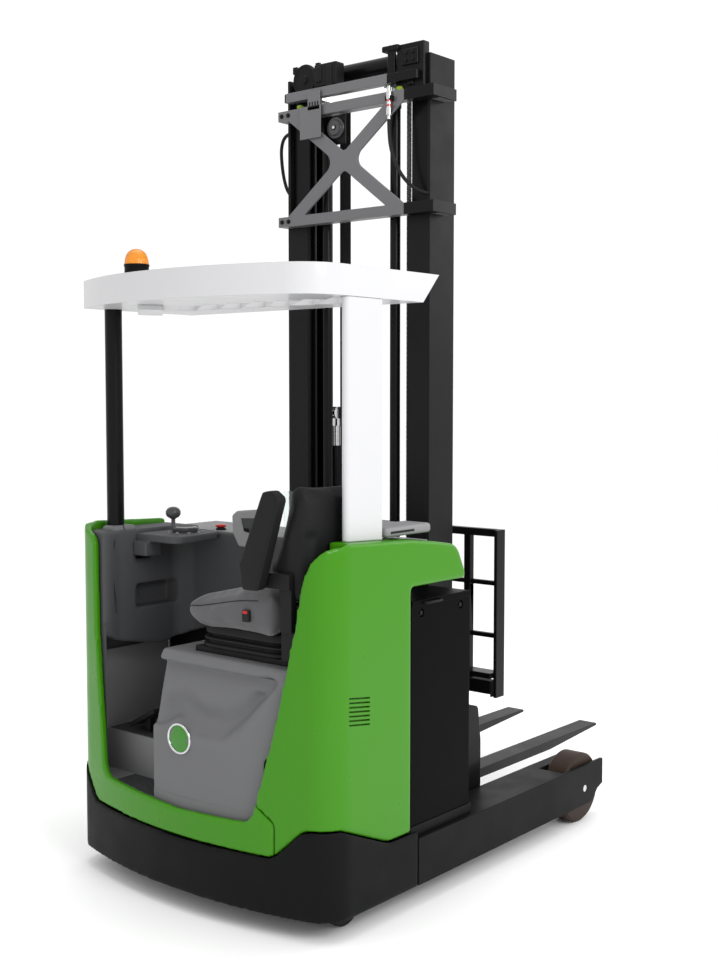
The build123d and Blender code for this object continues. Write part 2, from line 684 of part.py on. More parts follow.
def seat_console():
    """Grey seat-base cover: bulging foot, scooped face under a rolled lip, stepped left edge."""
    y0, y1 = CONSOLE_Y
    body = side_profile(console_side(0, CONSOLE_LOW), y0, y1)
    body = body & rear_profile(
        [(y0, CONSOLE_LOW), (y1, CONSOLE_LOW), (y1 - 3, CONSOLE_TOP - 178, 90),
         (y1 - 45, CONSOLE_TOP - 88, 90), (y1 - 51, CONSOLE_TOP, 12), (y0, CONSOLE_TOP)],
        REAR_X - 5, CAB_FRONT)
    share = (y1 - y0) / 626
    scoop = rear_profile(
        [(y1 + 20, CONSOLE_TOP - 264), (y1 - 60 * share, CONSOLE_TOP - 252, 40 * share),
         (y1 - 122 * share, CONSOLE_TOP - 212, 34 * share),
         (y1 - 210 * share, CONSOLE_TOP - 268, 60 * share),
         (y0 + 290 * share, CONSOLE_TOP - 268, 80 * share),
         (y0 + 78 * share, CONSOLE_TOP - 60, 20 * share), (y0 + 78 * share, CONSOLE_TOP - 40),
         (y1 + 20, CONSOLE_TOP - 40)],
        REAR_X - 5, SEAT_X)
    body -= scoop - side_profile(console_side(SCOOP_DEPTH, CONSOLE_LOW - 1), y0 - 1, y1 + 21)
    inner = side_profile(
        [(REAR_X + 70, CONSOLE_LOW - 1), (REAR_X + 70, CONSOLE_TOP - 318), (REAR_X + 136, CONSOLE_TOP - 50),
         (REAR_X + 140, CONSOLE_TOP - 26), (CAB_FRONT - 1, CONSOLE_TOP - 26),
         (CAB_FRONT - 1, CONSOLE_LOW - 1)], y0 - 1, y1 - 70,
    )
    inner += box(REAR_X + 100, CAB_FRONT - 1, y0 - 1, y1 - 34, CONSOLE_LOW - 1, CONSOLE_TOP - 158)
    return (body - inner) & body_plan(PANEL_INSET + PANEL + 1, 0, 0, CONSOLE_TOP + 100)


save("seat_console", seat_console())


def floor_steps():
    """Upper floor with the low entry step in front of it and the liner on the left wall."""
    y0, y1 = CONSOLE_Y[1] + 2, LINER_Y - 2
    upper = box(STEP_EDGE, CAB_FRONT, y0, y1, FLOOR_Z - 14, FLOOR_Z)
    riser = box(STEP_EDGE, STEP_EDGE + 14, y0, y1, STEP_Z, FLOOR_Z - 14)
    lower = box(REAR_X + 38, STEP_EDGE + 14, y0, y1, STEP_Z - 14, STEP_Z)
    tall = box(REAR_X + 78, CAB_FRONT, y1 - LINER_T, y1, STEP_Z - 14, DASH_LOW - 16)
    whole = upper + riser + lower + tall
    return whole & body_plan(PANEL_INSET + PANEL + 1, CAB_FRONT, 0, DASH_LOW)


save("floor_steps", floor_steps())


def pedal(x, y, z, width, length):
    """One sloping pedal on its post."""
    plate = Pos(x, y, z) * Rot(-28, 0, 0) * Box(width, length, 14)
    return plate + box(x - 14, x + 14, y - 4, y + 18, FLOOR_Z, z + 4)


pedals = Compound([
    pedal(REAR_X + 258, HALF - 235, FLOOR_Z + 62, 100, 150),
    pedal(REAR_X + 408, HALF - 215, FLOOR_Z + 72, 90, 130),
])
save("pedals", pedals)


def seat_base():
    """Seat rails, oval suspension ring, sprung pan and the armrest's side bracket with its pin."""
    y0, y1 = CONSOLE_Y[0] + 50, 20
    half = SEAT_W / 2 - 24
    rail_top = CONSOLE_TOP + 20
    base = box(SEAT_X - 170, SEAT_X - 140, y0, y1, CONSOLE_TOP, rail_top)
    base += box(SEAT_X + 140, SEAT_X + 170, y0, y1, CONSOLE_TOP, rail_top)
    base += plan_profile(
        [(SEAT_X - half, y0 - 8, 90), (SEAT_X + half, y0 - 8, 90), (SEAT_X + half, y1 + 8, 90),
         (SEAT_X - half, y1 + 8, 90)], rail_top, rail_top + 32)
    base += plan_profile(
        [(SEAT_X - half + 22, y0, 70), (SEAT_X + half - 22, y0, 70), (SEAT_X + half - 22, y1 - 14, 70),
         (SEAT_X - half + 22, y1 - 14, 70)], rail_top + 32, SEAT_BASE_TOP)
    base += box(SEAT_X - half, SEAT_X + half, CONSOLE_Y[0], SEAT_REAR - 12, rail_top, BACK_LOW - SEAT_GAP)
    x0, x1 = ARM_X[1] + RUN_GAP, ARM_X[1] + RUN_GAP + 9
    py, pz = ARM_PIVOT
    base += rear_profile(
        [(y0 - 20, SEAT_BASE_TOP - 50), (py + 76, SEAT_BASE_TOP - 50, 8), (py + 40, SEAT_BASE_TOP + 60, 40),
         (py + 26, pz), (py - 26, pz), (y0 - 20, SEAT_BASE_TOP + 40, 30)], x0, x1)
    base += bar_x(py, pz, x0, x1, 30)
    base += box(x1, SEAT_X - half + 1, y0, py + 60, SEAT_BASE_TOP - 50, SEAT_BASE_TOP - 8)
    return base + bar_x(py, pz, ARM_X[0] + 10, x0, 12)


save("seat_base", seat_base())
low = SEAT_BASE_TOP + SEAT_GAP
cushion = rear_profile(
    [(SEAT_FRONT, low + 36, 18), (SEAT_FRONT - 7, low + 81, 24), (SEAT_FRONT - 282, low + 145, 120),
     (SEAT_REAR, low + 146, 14), (SEAT_REAR, low, 10), (SEAT_FRONT - 63, low, 30)],
    SEAT_X - SEAT_W / 2, SEAT_X + SEAT_W / 2)
save("seat_cushion", cushion)
back = rear_profile(
    [(SEAT_REAR - 10, BACK_LOW), (SEAT_REAR - 4, BACK_LOW + 110, 60), (SEAT_REAR - 42, BACK_LOW + 378, 22),
     (SEAT_REAR - 82, BACK_LOW + 400, 16), (SEAT_REAR - 124, BACK_LOW + 370, 20),
     (SEAT_REAR - 112, BACK_LOW)], SEAT_X - BACK_W / 2, SEAT_X + BACK_W / 2)
save("seat_back", back)


def armrest():
    """Folding armrest, leaning back along the seat, bored for its pin."""
    py, pz = ARM_PIVOT
    arm = rear_profile(
        [(py + 15, pz - 37, 14), (py + 58, pz + 54, 20), (py - 76, pz + 287, 14), (py - 112, pz + 293, 14),
         (py - 148, pz + 269, 18), (py - 51, pz - 35, 16)], *ARM_X)
    return arm - bar_x(py, pz, ARM_X[0] + 9, ARM_X[1] + 1, 12 + ROD_FIT)


save("armrest", armrest())
save("side_screen", box(CAB_FRONT + 2, CAB_FRONT + 8, -320, -35, DESK_TOP, DESK_TOP + 170))


# Battery

bx, by, bz = BATTERY
pack = box(BATTERY_REAR, BATTERY_REAR + bx, -by / 2, by / 2, BATTERY_BASE, BATTERY_BASE + bz)
for side in (-1, 1):
    for x in (BATTERY_REAR + 60, BATTERY_REAR + bx - 60):
        top = BATTERY_BASE + bz
        pack -= bar_y(x, top - 45, side * by / 2 - 8, side * by / 2 + 8, 15)
save("battery", pack)

# Reach carriage and outer mast

PLATE_Y = (OUTER_Y, LEG_IN - 15)
REACH_ROLLER_R = (GROOVE_Z[1] - GROOVE_Z[0]) / 2 - SEAT_GAP
REACH_ROLLER_Z = (GROOVE_Z[0] + GROOVE_Z[1]) / 2


def reach_carriage():
    """Side plates that join the mast foot to rollers running in the legs, and a rear cross plate."""
    plate = side_profile(
        [(TIE_REAR, 100), (MAST_FRONT + 68, 100), (MAST_FRONT + 68, 420, 60), (MAST_FRONT + 48, 560, 20),
         (MAST_REAR + 20, 560, 30), (TIE_REAR, 380, 60)],
        OUTER_Y + 42, LEG_IN - RUN_GAP,
    )
    web = box(MAST_REAR + 6, MAST_FRONT - 6, OUTER_Y, OUTER_Y + 42, 100, 540)
    half = plate + web
    for x in (MAST_REAR + 15, MAST_FRONT + 3):
        half += bar_y(x, REACH_ROLLER_Z, LEG_IN - RUN_GAP - 1, LEG_IN + GROOVE_DEPTH - RUN_GAP,
                      REACH_ROLLER_R)
    cross = box(TIE_REAR, TIE_REAR + 20, -OUTER_Y - 42, OUTER_Y + 42, 120, 400)
    return half + cross + mirror_y(half)


save("reach_carriage", reach_carriage())


def channel(x0, x1, y_web, y_open, wall, z0, z1):
    """Upright C section that opens towards the middle of the truck."""
    return (box(x0, x1, y_web - wall, y_web, z0, z1)
            + box(x0, x0 + wall, y_open, y_web - wall, z0, z1)
            + box(x1 - wall, x1, y_open, y_web - wall, z0, z1))


def mast_outer():
    """Outer uprights, their rear flange cut away above the lower tie, on a foot plate."""
    upright = channel(MAST_REAR, MAST_FRONT, OUTER_Y, FLANGE_IN, FLANGE, MAST_FOOT, MAST_TOP)
    upright -= box(MAST_REAR - 1, MAST_REAR + FLANGE + 0.01, 0, OUTER_Y - FLANGE, TIE_LOW + TIE_H,
                   MAST_TOP + 1)
    return both(upright)


save("mast_outer", mast_outer())


def tie(z):
    """Cross tie behind the mast that wraps forward along both outer uprights."""
    rear = box(TIE_REAR, MAST_REAR, *TIE_Y, z, z + TIE_H)
    right = box(MAST_REAR, MAST_FRONT - 63, TIE_Y[0], -OUTER_Y, z, z + TIE_H)
    left = box(MAST_REAR, MAST_FRONT - 63, OUTER_Y, TIE_Y[1], z, z + TIE_H)
    return rear + right + left


BRACE_Y = 20.0
BRACE_W = 54.0


def brace():
    """X-shaped plate between the ties, its hub widened by large round crotches."""
    z0, z1 = TIE_LOW + TIE_H, TIE_HIGH
    reach = FLANGE_IN - 4
    slope = math.degrees(math.atan2(z1 - z0, 2 * reach))
    bar = Rectangle(math.hypot(2 * reach, z1 - z0) + 90, BRACE_W)
    bars = Rot(0, 0, slope) * bar + Rot(0, 0, -slope) * bar
    inner = [v for v in bars.vertices() if abs(v.X) < 120 and abs(v.Y) < 80]
    face = fillet([v for v in inner if abs(v.X) < 10], 24)
    face = fillet([v for v in face.vertices() if 30 < abs(v.X) < 120 and abs(v.Y) < 5], 40)
    face = Pos(BRACE_Y, (z0 + z1) / 2) * (face & Rectangle(2 * OUTER_Y - 60, z1 - z0))
    return Pos(TIE_REAR, 0, 0) * extrude(Plane.YZ * face, 10)


save("mast_ties", tie(TIE_LOW) + tie(TIE_HIGH) + brace())

BARREL_Z = (110.0, MAST_TOP - 130.0)


def main_barrels():
    """The two main lift cylinders, standing on feet from the outer uprights."""
    barrel = tube_z(MAIN_X, RAM_Y, BARREL_Z[0], BARREL_Z[1] - GLAND, MAIN_R, ROD_R + ROD_GAP)
    barrel += tube_z(MAIN_X, RAM_Y, BARREL_Z[1] - GLAND, BARREL_Z[1], MAIN_R + 3, ROD_R + ROD_FIT)
    foot = box(MAST_REAR, MAIN_X + 16, RAM_Y - 26, RAM_Y + 26, BARREL_Z[0] - 20, BARREL_Z[0])
    foot += box(MAST_REAR, MAST_REAR + FLANGE, RAM_Y + 26, FLANGE_IN, BARREL_Z[0] - 20, BARREL_Z[0])
    return both(barrel + foot)


save("lift_barrels", main_barrels())

# Middle stage

MIDDLE_REAR = MAST_REAR + FLANGE + RUN_GAP
MIDDLE_FRONT = MAST_FRONT - FLANGE - RUN_GAP
MIDDLE_Y = OUTER_Y - FLANGE - RUN_GAP
MIDDLE_OPEN = FLANGE_IN + 6.0
STAGE_FOOT = MAST_FOOT + 14
STAGE_TOP = MAST_TOP - 12
PAD = RUN_GAP - SEAT_GAP


def slide_pads(rear, front, y_web, z):
    """Wear pads at a stage's foot that guide it in the next section."""
    pads = box(rear - PAD, rear, y_web - 40, y_web - 6, z, z + 120)
    pads += box(front, front + PAD, y_web - 40, y_web - 6, z, z + 120)
    return pads + box(rear + 30, front - 30, y_web, y_web + PAD, z, z + 120)


def mast_middle():
    """Middle uprights with wear pads, rear top tie and sheaves' cheek plates."""
    half = channel(MIDDLE_REAR, MIDDLE_FRONT, MIDDLE_Y, MIDDLE_OPEN, STAGE_T, STAGE_FOOT, STAGE_TOP)
    half += slide_pads(MIDDLE_REAR, MIDDLE_FRONT, MIDDLE_Y, STAGE_FOOT)
    arm = box(TIE_REAR + 20, MIDDLE_REAR, MIDDLE_OPEN + 4, MIDDLE_OPEN + 44, MIDDLE_TIE, MIDDLE_TIE + 40)
    half += arm
    top = box(TIE_REAR, TIE_REAR + 30, 0, OUTER_Y - 28, MIDDLE_TIE, MIDDLE_TIE + 34)
    half += top
    return half + mirror_y(half)


save("mast_middle", mast_middle())


def lift_rods():
    """Chromed rods of the main cylinders, up to a lug on the middle stage's tie."""
    rod = tube_z(MAIN_X, RAM_Y, BARREL_Z[0] + 30, BARREL_Z[1] + 24, ROD_R)
    head = box(TIE_REAR + 30, MAIN_X + 14, RAM_Y - 16, RAM_Y + 16, BARREL_Z[1] + 24, MIDDLE_TIE + 30)
    return both(rod + head)


save("lift_rods", lift_rods())


def lift_chains():
    """Leaf chains of the inner stage, hanging from their sheaves."""
    run = box(CHAIN_X - 9, CHAIN_X + 9, CHAIN_Y - 7, CHAIN_Y + 7, 620, MIDDLE_TIE + 20)
    sheave = bar_y(CHAIN_X - 40, MIDDLE_TIE + 20, CHAIN_Y - 10, CHAIN_Y + 10, 40)
    pin = bar_y(CHAIN_X - 40, MIDDLE_TIE + 20, CHAIN_Y + 10, MIDDLE_OPEN, 10)
    return both(run + sheave + pin)


save("lift_chains", lift_chains())

# Inner stage

INNER_REAR = MIDDLE_REAR + STAGE_T + RUN_GAP
INNER_FRONT = MIDDLE_FRONT - STAGE_T - RUN_GAP
INNER_Y = MIDDLE_Y - STAGE_T - RUN_GAP
INNER_OPEN = FLANGE_IN - 6.0
CROSS_X = MAST_REAR + 98.0


def mast_inner():
    """Inner uprights with wear pads and the big tube across their heads."""
    half = channel(INNER_REAR, INNER_FRONT, INNER_Y, INNER_OPEN, STAGE_T, STAGE_FOOT, STAGE_TOP)
    half += slide_pads(INNER_REAR, INNER_FRONT, INNER_Y, STAGE_FOOT)
    cross = bar_y(CROSS_X, CROSS_TUBE_Z, -INNER_OPEN - 6, INNER_OPEN + 6, CROSS_TUBE_R)
    return half + mirror_y(half) + cross


save("mast_inner", mast_inner())

FREE_Z = (170.0, 1560.0)


def free_lift_barrel():
    """Free-lift cylinder on the inner stage's left side; its foot bracket passes behind the chain."""
    barrel = tube_z(FREE_X, RAM_Y, FREE_Z[0], FREE_Z[1] - GLAND, FREE_R, ROD_R + ROD_GAP)
    barrel += tube_z(FREE_X, RAM_Y, FREE_Z[1] - GLAND, FREE_Z[1], FREE_R + 3, ROD_R + ROD_FIT)
    foot = plan_profile(
        [(INNER_REAR, INNER_OPEN), (INNER_REAR, RAM_Y + 32), (CHAIN_X - 16, RAM_Y + 12), (CHAIN_X - 12.5, RAM_Y),
         (CHAIN_X - 12, RAM_Y - 14), (FREE_X + 14, RAM_Y - 14), (FREE_X + 14, RAM_Y + 24),
         (CHAIN_X - 15, RAM_Y + 24), (CHAIN_X - 15, INNER_OPEN)], FREE_Z[0] - 16, FREE_Z[0])
    return barrel + foot


save("free_lift_barrel", free_lift_barrel())


def free_lift_rod():
    """Free-lift rod with the sheave that its chain runs over."""
    rod = tube_z(FREE_X, RAM_Y, FREE_Z[0] + 80, FREE_Z[1] + 80, ROD_R)
    rod += box(FREE_X - 16, FREE_X + 16, RAM_Y - 18, RAM_Y + 18, FREE_Z[1] + 80, FREE_Z[1] + 110)
    return rod + bar_y(FREE_X, FREE_Z[1] + 132, RAM_Y - 12, RAM_Y + 12, 26)


save("free_lift_rod", free_lift_rod())

# Fork carriage, tilt frame and side shift


def lift_carriage():
    """Carriage plates with rollers in the inner stage, joined by two cross plates."""
    z0, z1 = CARRIAGE_Z
    plate = side_profile(
        [(MAST_REAR + 60, z0), (MAST_FRONT + 43, z0), (MAST_FRONT + 73, z0 + 10),
         (MAST_FRONT + 73, z0 + 60), (MAST_FRONT + 33, z0 + 120), (MAST_FRONT + 33, z1),
         (MAST_REAR + 60, z1)], CARRIAGE_Y - 14, CARRIAGE_Y)
    half = plate
    for z in (z0 + 50, z1 - 60):
        half += bar_y((INNER_REAR + INNER_FRONT) / 2, z, CARRIAGE_Y, CARRIAGE_Y + 14, 14)
        half += bar_y((INNER_REAR + INNER_FRONT) / 2, z, CARRIAGE_Y + 14, CARRIAGE_Y + 54, ROLLER_R)
    whole = half + mirror_y(half)
    for z in (z0 + 90, z1 - 90):
        whole += box(MAST_FRONT - 33, MAST_FRONT + 3, -CARRIAGE_Y + 14, CARRIAGE_Y - 14, z, z + 90)
    pin_x, pin_z = TILT_PIVOT
    whole += bar_y(pin_x, pin_z, -CARRIAGE_Y + 14, CARRIAGE_Y - 14, 14)
    return whole


save("lift_carriage", lift_carriage())

TILT_X = (FORK_FACE - 110.0, FORK_FACE - 84.0)
SHIFT_X = (FORK_FACE - 80.0, FORK_FACE - FORK_T)
BAR_LOW = (FORK_TOP + 40.0, FORK_TOP + 100.0)
BAR_HIGH = (FORK_TOP + 390.0, FORK_TOP + 443.0)
LOW_HALF = LEG_IN - 83.0
HIGH_HALF = BACKREST_HALF - 19.0
TILT_HALF = LOW_HALF - 72.0


def tilt_frame():
    """Tilting frame on the carriage's pin, with the rails that the side shift slides on."""
    pin_x, pin_z = TILT_PIVOT
    low, high = FORK_TOP - 20, BAR_HIGH[1] - 3
    frame = box(*TILT_X, -TILT_HALF, -TILT_HALF + 60, low, high)
    frame += box(*TILT_X, TILT_HALF - 60, TILT_HALF, low, high)
    frame += box(*TILT_X, -TILT_HALF, TILT_HALF, low, low + 56)
    frame += box(*TILT_X, -TILT_HALF, TILT_HALF, high - 44, high)
    for side in (-1, 1):
        y0, y1 = sorted((side * (CARRIAGE_Y - 86), side * (CARRIAGE_Y - 46)))
        lug = side_profile(
            [(pin_x - 26, pin_z - 20), (TILT_X[0], pin_z - 20), (TILT_X[0], pin_z + 30),
             (pin_x - 26, pin_z + 24)], y0, y1)
        frame += lug
    return frame - bar_y(pin_x, pin_z, -CARRIAGE_Y + 36, CARRIAGE_Y - 36, 14.05)


save("tilt_frame", tilt_frame())


def shift_frame():
    """Fork bars with their end blocks, sliding across the tilting frame."""
    frame = box(*SHIFT_X, -HIGH_HALF, HIGH_HALF, *BAR_HIGH)
    frame += box(*SHIFT_X, -LOW_HALF, LOW_HALF, *BAR_LOW)
    for y in (-LOW_HALF + 92, -30, LOW_HALF - 152):
        frame += box(*SHIFT_X, y, y + 60, BAR_LOW[1], BAR_HIGH[0])
    lip = box(TILT_X[0] + 6, SHIFT_X[0], -200, 200, BAR_HIGH[1] - 3 + SEAT_GAP, BAR_HIGH[1] + 6)
    frame += lip + box(SHIFT_X[0], SHIFT_X[0] + 10, -200, 200, BAR_HIGH[1], BAR_HIGH[1] + 6)
    pads = box(TILT_X[1] + SEAT_GAP, SHIFT_X[0], -60, 60, BAR_HIGH[0] + 10, BAR_HIGH[1] - 7)
    return frame + pads


save("shift_frame", shift_frame())

GUARD_X = (FORK_FACE - 36.0, FORK_FACE - 8.0)


def load_guard():
    """Load backrest of posts and rails, with gusseted side plates, on the upper fork bar."""
    x0, x1 = GUARD_X
    z0 = BAR_HIGH[1]
    guard = box(x0, x1, -BACKREST_HALF, BACKREST_HALF, BACKREST_TOP - 30, BACKREST_TOP)
    for side in (-1, 1):
        y0, y1 = sorted((side * (BACKREST_HALF - 14), side * BACKREST_HALF))
        guard += box(x0 - 30, x1, y0, y1, z0 - 68, BACKREST_TOP)
        y0, y1 = sorted((side * 300, side * 330))
        guard += box(x0, x1, y0, y1, z0, BACKREST_TOP - 30)
        y0, y1 = sorted((side * 60, side * 88))
        guard += box(x0, x1, y0, y1, z0, BACKREST_TOP - 30)
        y0, y1 = sorted((side * HIGH_HALF, side * (BACKREST_HALF - 14)))
        guard += box(SHIFT_X[0], x0 + 4, y0, y1, z0 - 63, z0)
    for z in (z0 + 162, BACKREST_TOP - 224):
        guard += box(x0 + 4, x1 - 4, -BACKREST_HALF + 14, BACKREST_HALF - 14, z, z + 18)
    foot = box(SHIFT_X[0], x1, -HIGH_HALF, HIGH_HALF, z0 + 8, z0 + 30)
    guard += foot - box(SHIFT_X[0] - 1, SHIFT_X[0] + 10.5, -201, 201, 0, z0 + 9)
    return guard


save("load_guard", load_guard())


def fork():
    """Left fork: hooked shank and a blade that tapers to its tip."""
    y0, y1 = FORK_Y - FORK_W / 2, FORK_Y + FORK_W / 2
    shank_x = (FORK_FACE - FORK_T, FORK_FACE)
    low = FORK_TOP - FORK_T
    hook = [
        (shank_x[0], low + 12), (shank_x[0] + 12, low), (FORK_TIP - 420, low),
        (FORK_TIP, FORK_TOP - 12), (FORK_TIP, FORK_TOP), (shank_x[1], FORK_TOP),
        (shank_x[1], BAR_HIGH[1] + 7), (shank_x[0], BAR_HIGH[1] + 7),
    ]
    return side_profile(hook, y0, y1)


save("forks", both(fork()))
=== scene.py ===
"""Reach truck: the looks of each piece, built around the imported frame.

Lengths are millimetres measured from the load wheels' axle (X towards the fork tips, Y to the
truck's left, Z up from the floor) and become metres of the shared frame in metres().
"""

import json
import logging
import math
from dataclasses import dataclass
from enum import Enum
from typing import Callable, Sequence

import bmesh
import bpy
import numpy as np
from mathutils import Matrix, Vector
from mathutils.bvhtree import BVHTree

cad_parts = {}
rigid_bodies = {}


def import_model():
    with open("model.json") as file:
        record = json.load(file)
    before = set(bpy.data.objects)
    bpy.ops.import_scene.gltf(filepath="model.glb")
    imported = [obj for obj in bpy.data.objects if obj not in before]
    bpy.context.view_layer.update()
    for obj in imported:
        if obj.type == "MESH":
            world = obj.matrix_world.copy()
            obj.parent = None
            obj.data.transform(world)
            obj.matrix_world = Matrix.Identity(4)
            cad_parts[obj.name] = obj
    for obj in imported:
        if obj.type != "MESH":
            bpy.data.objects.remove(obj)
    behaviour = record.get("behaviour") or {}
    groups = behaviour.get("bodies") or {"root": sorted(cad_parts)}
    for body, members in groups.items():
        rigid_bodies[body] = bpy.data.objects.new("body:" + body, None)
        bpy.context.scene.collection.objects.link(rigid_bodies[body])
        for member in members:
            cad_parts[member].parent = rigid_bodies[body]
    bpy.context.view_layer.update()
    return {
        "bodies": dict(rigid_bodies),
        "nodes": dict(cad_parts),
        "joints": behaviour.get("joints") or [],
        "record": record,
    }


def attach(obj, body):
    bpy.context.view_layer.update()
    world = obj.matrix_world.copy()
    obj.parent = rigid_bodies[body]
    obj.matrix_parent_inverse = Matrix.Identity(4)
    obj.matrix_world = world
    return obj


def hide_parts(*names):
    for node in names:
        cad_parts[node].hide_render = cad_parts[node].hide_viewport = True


Faces = list[tuple[int, ...]]
Form = tuple[np.ndarray, Faces]
Spot = tuple[float, float, float]
Row = tuple[float, ...]
Table = tuple[Row, ...]

LOG = logging.getLogger("reach_truck")
AXLE_X = 475.0
HALF = 635.0
REAR = -1698.0
CAB_FRONT = -1178.0
SAME_POINT = 0.00002
ROLL = 0.5


def metres(points: np.ndarray) -> np.ndarray:
    """Turns millimetres from the load axle into metres of the shared frame.

    Args:
        points: An array whose last axis holds X, Y and Z.

    Returns:
        The same points with X moved by AXLE_X, divided by a thousand.
    """
    return (np.asarray(points, float) + np.array([AXLE_X, 0.0, 0.0])) / 1000.0


class Edge(Enum):
    """How a material treats the corners of hard pieces."""

    SHARP = 0.0
    FINE = 0.0012
    SOFT = 0.003


class Axis(Enum):
    """The axis a turned piece stands along, as the columns that its radius and height fill."""

    X = (1, 2, 0)
    Y = (2, 0, 1)
    Z = (0, 1, 2)


class Sheet:
    """The node tree of one material, with short calls to fill it."""

    def __init__(self, name: str) -> None:
        """Starts an empty tree with a Principled shader and its output.

        Args:
            name: The material's name.
        """
        self.material = bpy.data.materials.new(name)
        self.material.use_nodes = True
        self.tree = self.material.node_tree
        self.tree.nodes.clear()
        self.shader = self.add("ShaderNodeBsdfPrincipled")
        out = self.add("ShaderNodeOutputMaterial")
        self.join(self.shader, "BSDF", out, "Surface")
        coords = self.add("ShaderNodeTexCoord")
        self.coords = coords.outputs["Object"]

    def add(self, kind: str, **values: object) -> bpy.types.Node:
        """Adds a node.

        Args:
            kind: The node's type.
            **values: Properties or inputs to set, by name.

        Returns:
            The new node.
        """
        node = self.tree.nodes.new(kind)
        for key, value in values.items():
            name = key.replace("_", " ")
            if hasattr(node, key):
                setattr(node, key, value)
            elif name in node.inputs:
                node.inputs[name].default_value = value
        return node

    def join(self, source: bpy.types.Node, out: str, target: bpy.types.Node, into: str) -> None:
        """Links one node's output to another's input."""
        self.tree.links.new(source.outputs[out], target.inputs[into])

    def noise(self, scale: float, detail: float = 2.0) -> bpy.types.Node:
        """Noise on object coordinates.

        Args:
            scale: Cells per metre.
            detail: Octaves.

        Returns:
            The noise node.
        """
        node = self.add("ShaderNodeTexNoise", Scale=scale, Detail=detail)
        self.tree.links.new(self.coords, node.inputs["Vector"])
        return node

    def ramp(self, node: bpy.types.Node, out: str, low: float, high: float,
             span: Sequence[float] = (0, 1)) -> bpy.types.Node:
        """Maps an output from span to the range low to high.

        Args:
            node: The node that gives the value.
            out: Its output's name.
            low: Value at the start of span.
            high: Value at the end of span.
            span: The part of the input that is stretched.

        Returns:
            The Map Range node.
        """
        ranged = self.add("ShaderNodeMapRange")
        ranged.inputs["From Min"].default_value = span[0]
        ranged.inputs["From Max"].default_value = span[1]
        ranged.inputs["To Min"].default_value = low
        ranged.inputs["To Max"].default_value = high
        self.join(node, out, ranged, "Value")
        return ranged

    def mix(self, fac: bpy.types.Node, out: str, one: Sequence[float], two: Sequence[float]) -> None:
        """Sets the base colour to a mix of two colours by a node's output.

        Args:
            fac: Node that gives the share of the second colour.
            out: Its output's name.
            one: Colour at share 0.
            two: Colour at share 1.
        """
        node = self.add("ShaderNodeMix")
        node.data_type = "RGBA"
        self.tree.links.new(fac.outputs[out], node.inputs["Factor"])
        for socket in node.inputs:
            if socket.type == "RGBA":
                socket.default_value = (*(one if socket.name == "A" else two), 1)
        self.tree.links.new(node.outputs[2], self.shader.inputs["Base Color"])

    def bump(self, height: bpy.types.Node, out: str, depth: float, edge: float) -> None:
        """Feeds a height in metres to the shader's normal, over rounded corners.

        Args:
            height: Node whose output is the height from 0 to 1.
            out: That output's name.
            depth: Height of a full step, in metres.
            edge: Radius that the corners are shaded with, in metres.
        """
        node = self.add("ShaderNodeBump", Distance=depth, Strength=1.0)
        self.join(height, out, node, "Height")
        if edge:
            bevel = self.add("ShaderNodeBevel", Radius=edge)
            bevel.samples = 6
            self.join(bevel, "Normal", node, "Normal")
        self.join(node, "Normal", self.shader, "Normal")


def tinted(colour: Sequence[float], factor: float) -> tuple[float, ...]:
    """A colour made lighter or darker by a factor."""
    return tuple(min(1.0, c * factor) for c in colour)


@dataclass(frozen=True)
class Finish:
    """A painted or moulded finish: colour with slow drift, fine grain in bump and roughness."""

    name: str
    colour: tuple[float, float, float]
    roughness: float = 0.5
    metallic: float = 0.0
    coat: float = 0.0
    specular: float = 0.16
    grain: float = 900.0
    depth: float = 0.00003
    drift: float = 0.04
    spread: float = 0.05
    edge: Edge = Edge.FINE
    weave: float = 0.0

    def build(self) -> bpy.types.Material:
        """Makes the material.

        Returns:
            A Principled material whose constants sit on the shader's own sockets.
        """
        sheet = Sheet(self.name)
        shader = sheet.shader
        shader.inputs["Metallic"].default_value = self.metallic
        shader.inputs["Specular IOR Level"].default_value = self.specular
        if self.coat:
            shader.inputs["Coat Weight"].default_value = self.coat
            shader.inputs["Coat Roughness"].default_value = 0.05
        slow = sheet.noise(3.0, 3.0)
        sheet.mix(slow, "Fac", tinted(self.colour, 1 - self.drift), tinted(self.colour, 1 + self.drift))
        rough = sheet.noise(9.0, 4.0)
        ranged = sheet.ramp(rough, "Fac", self.roughness - self.spread, self.roughness + self.spread,
                            (0.3, 0.7))
        sheet.join(ranged, "Result", shader, "Roughness")
        if self.weave:
            shader.inputs["Sheen Weight"].default_value = 0.25
            shader.inputs["Sheen Roughness"].default_value = 0.5
            grain = sheet.add("ShaderNodeTexVoronoi", Scale=self.weave)
            sheet.tree.links.new(sheet.coords, grain.inputs["Vector"])
            sheet.bump(grain, "Distance", self.depth, self.edge.value)
        else:
            sheet.bump(sheet.noise(self.grain, 2.0), "Fac", self.depth, self.edge.value)
        return sheet.material


@dataclass(frozen=True)
class Glass:
    """Clear thin plastic for screens and lenses."""

    name: str
    colour: tuple[float, float, float]
    roughness: float = 0.05
    transmission: float = 1.0

    def build(self) -> bpy.types.Material:
        """Makes the material.

        Returns:
            A Principled material that lets light through.
        """
        sheet = Sheet(self.name)
        shader = sheet.shader
        shader.inputs["Transmission Weight"].default_value = self.transmission
        shader.inputs["IOR"].default_value = 1.45
        slow = sheet.noise(12.0, 2.0)
        sheet.mix(slow, "Fac", tinted(self.colour, 0.97), self.colour)
        ranged = sheet.ramp(slow, "Fac", self.roughness * 0.7, self.roughness * 1.3)
        sheet.join(ranged, "Result", shader, "Roughness")
        sheet.bump(sheet.noise(90.0, 1.0), "Fac", 0.00002, Edge.SHARP.value)
        return sheet.material


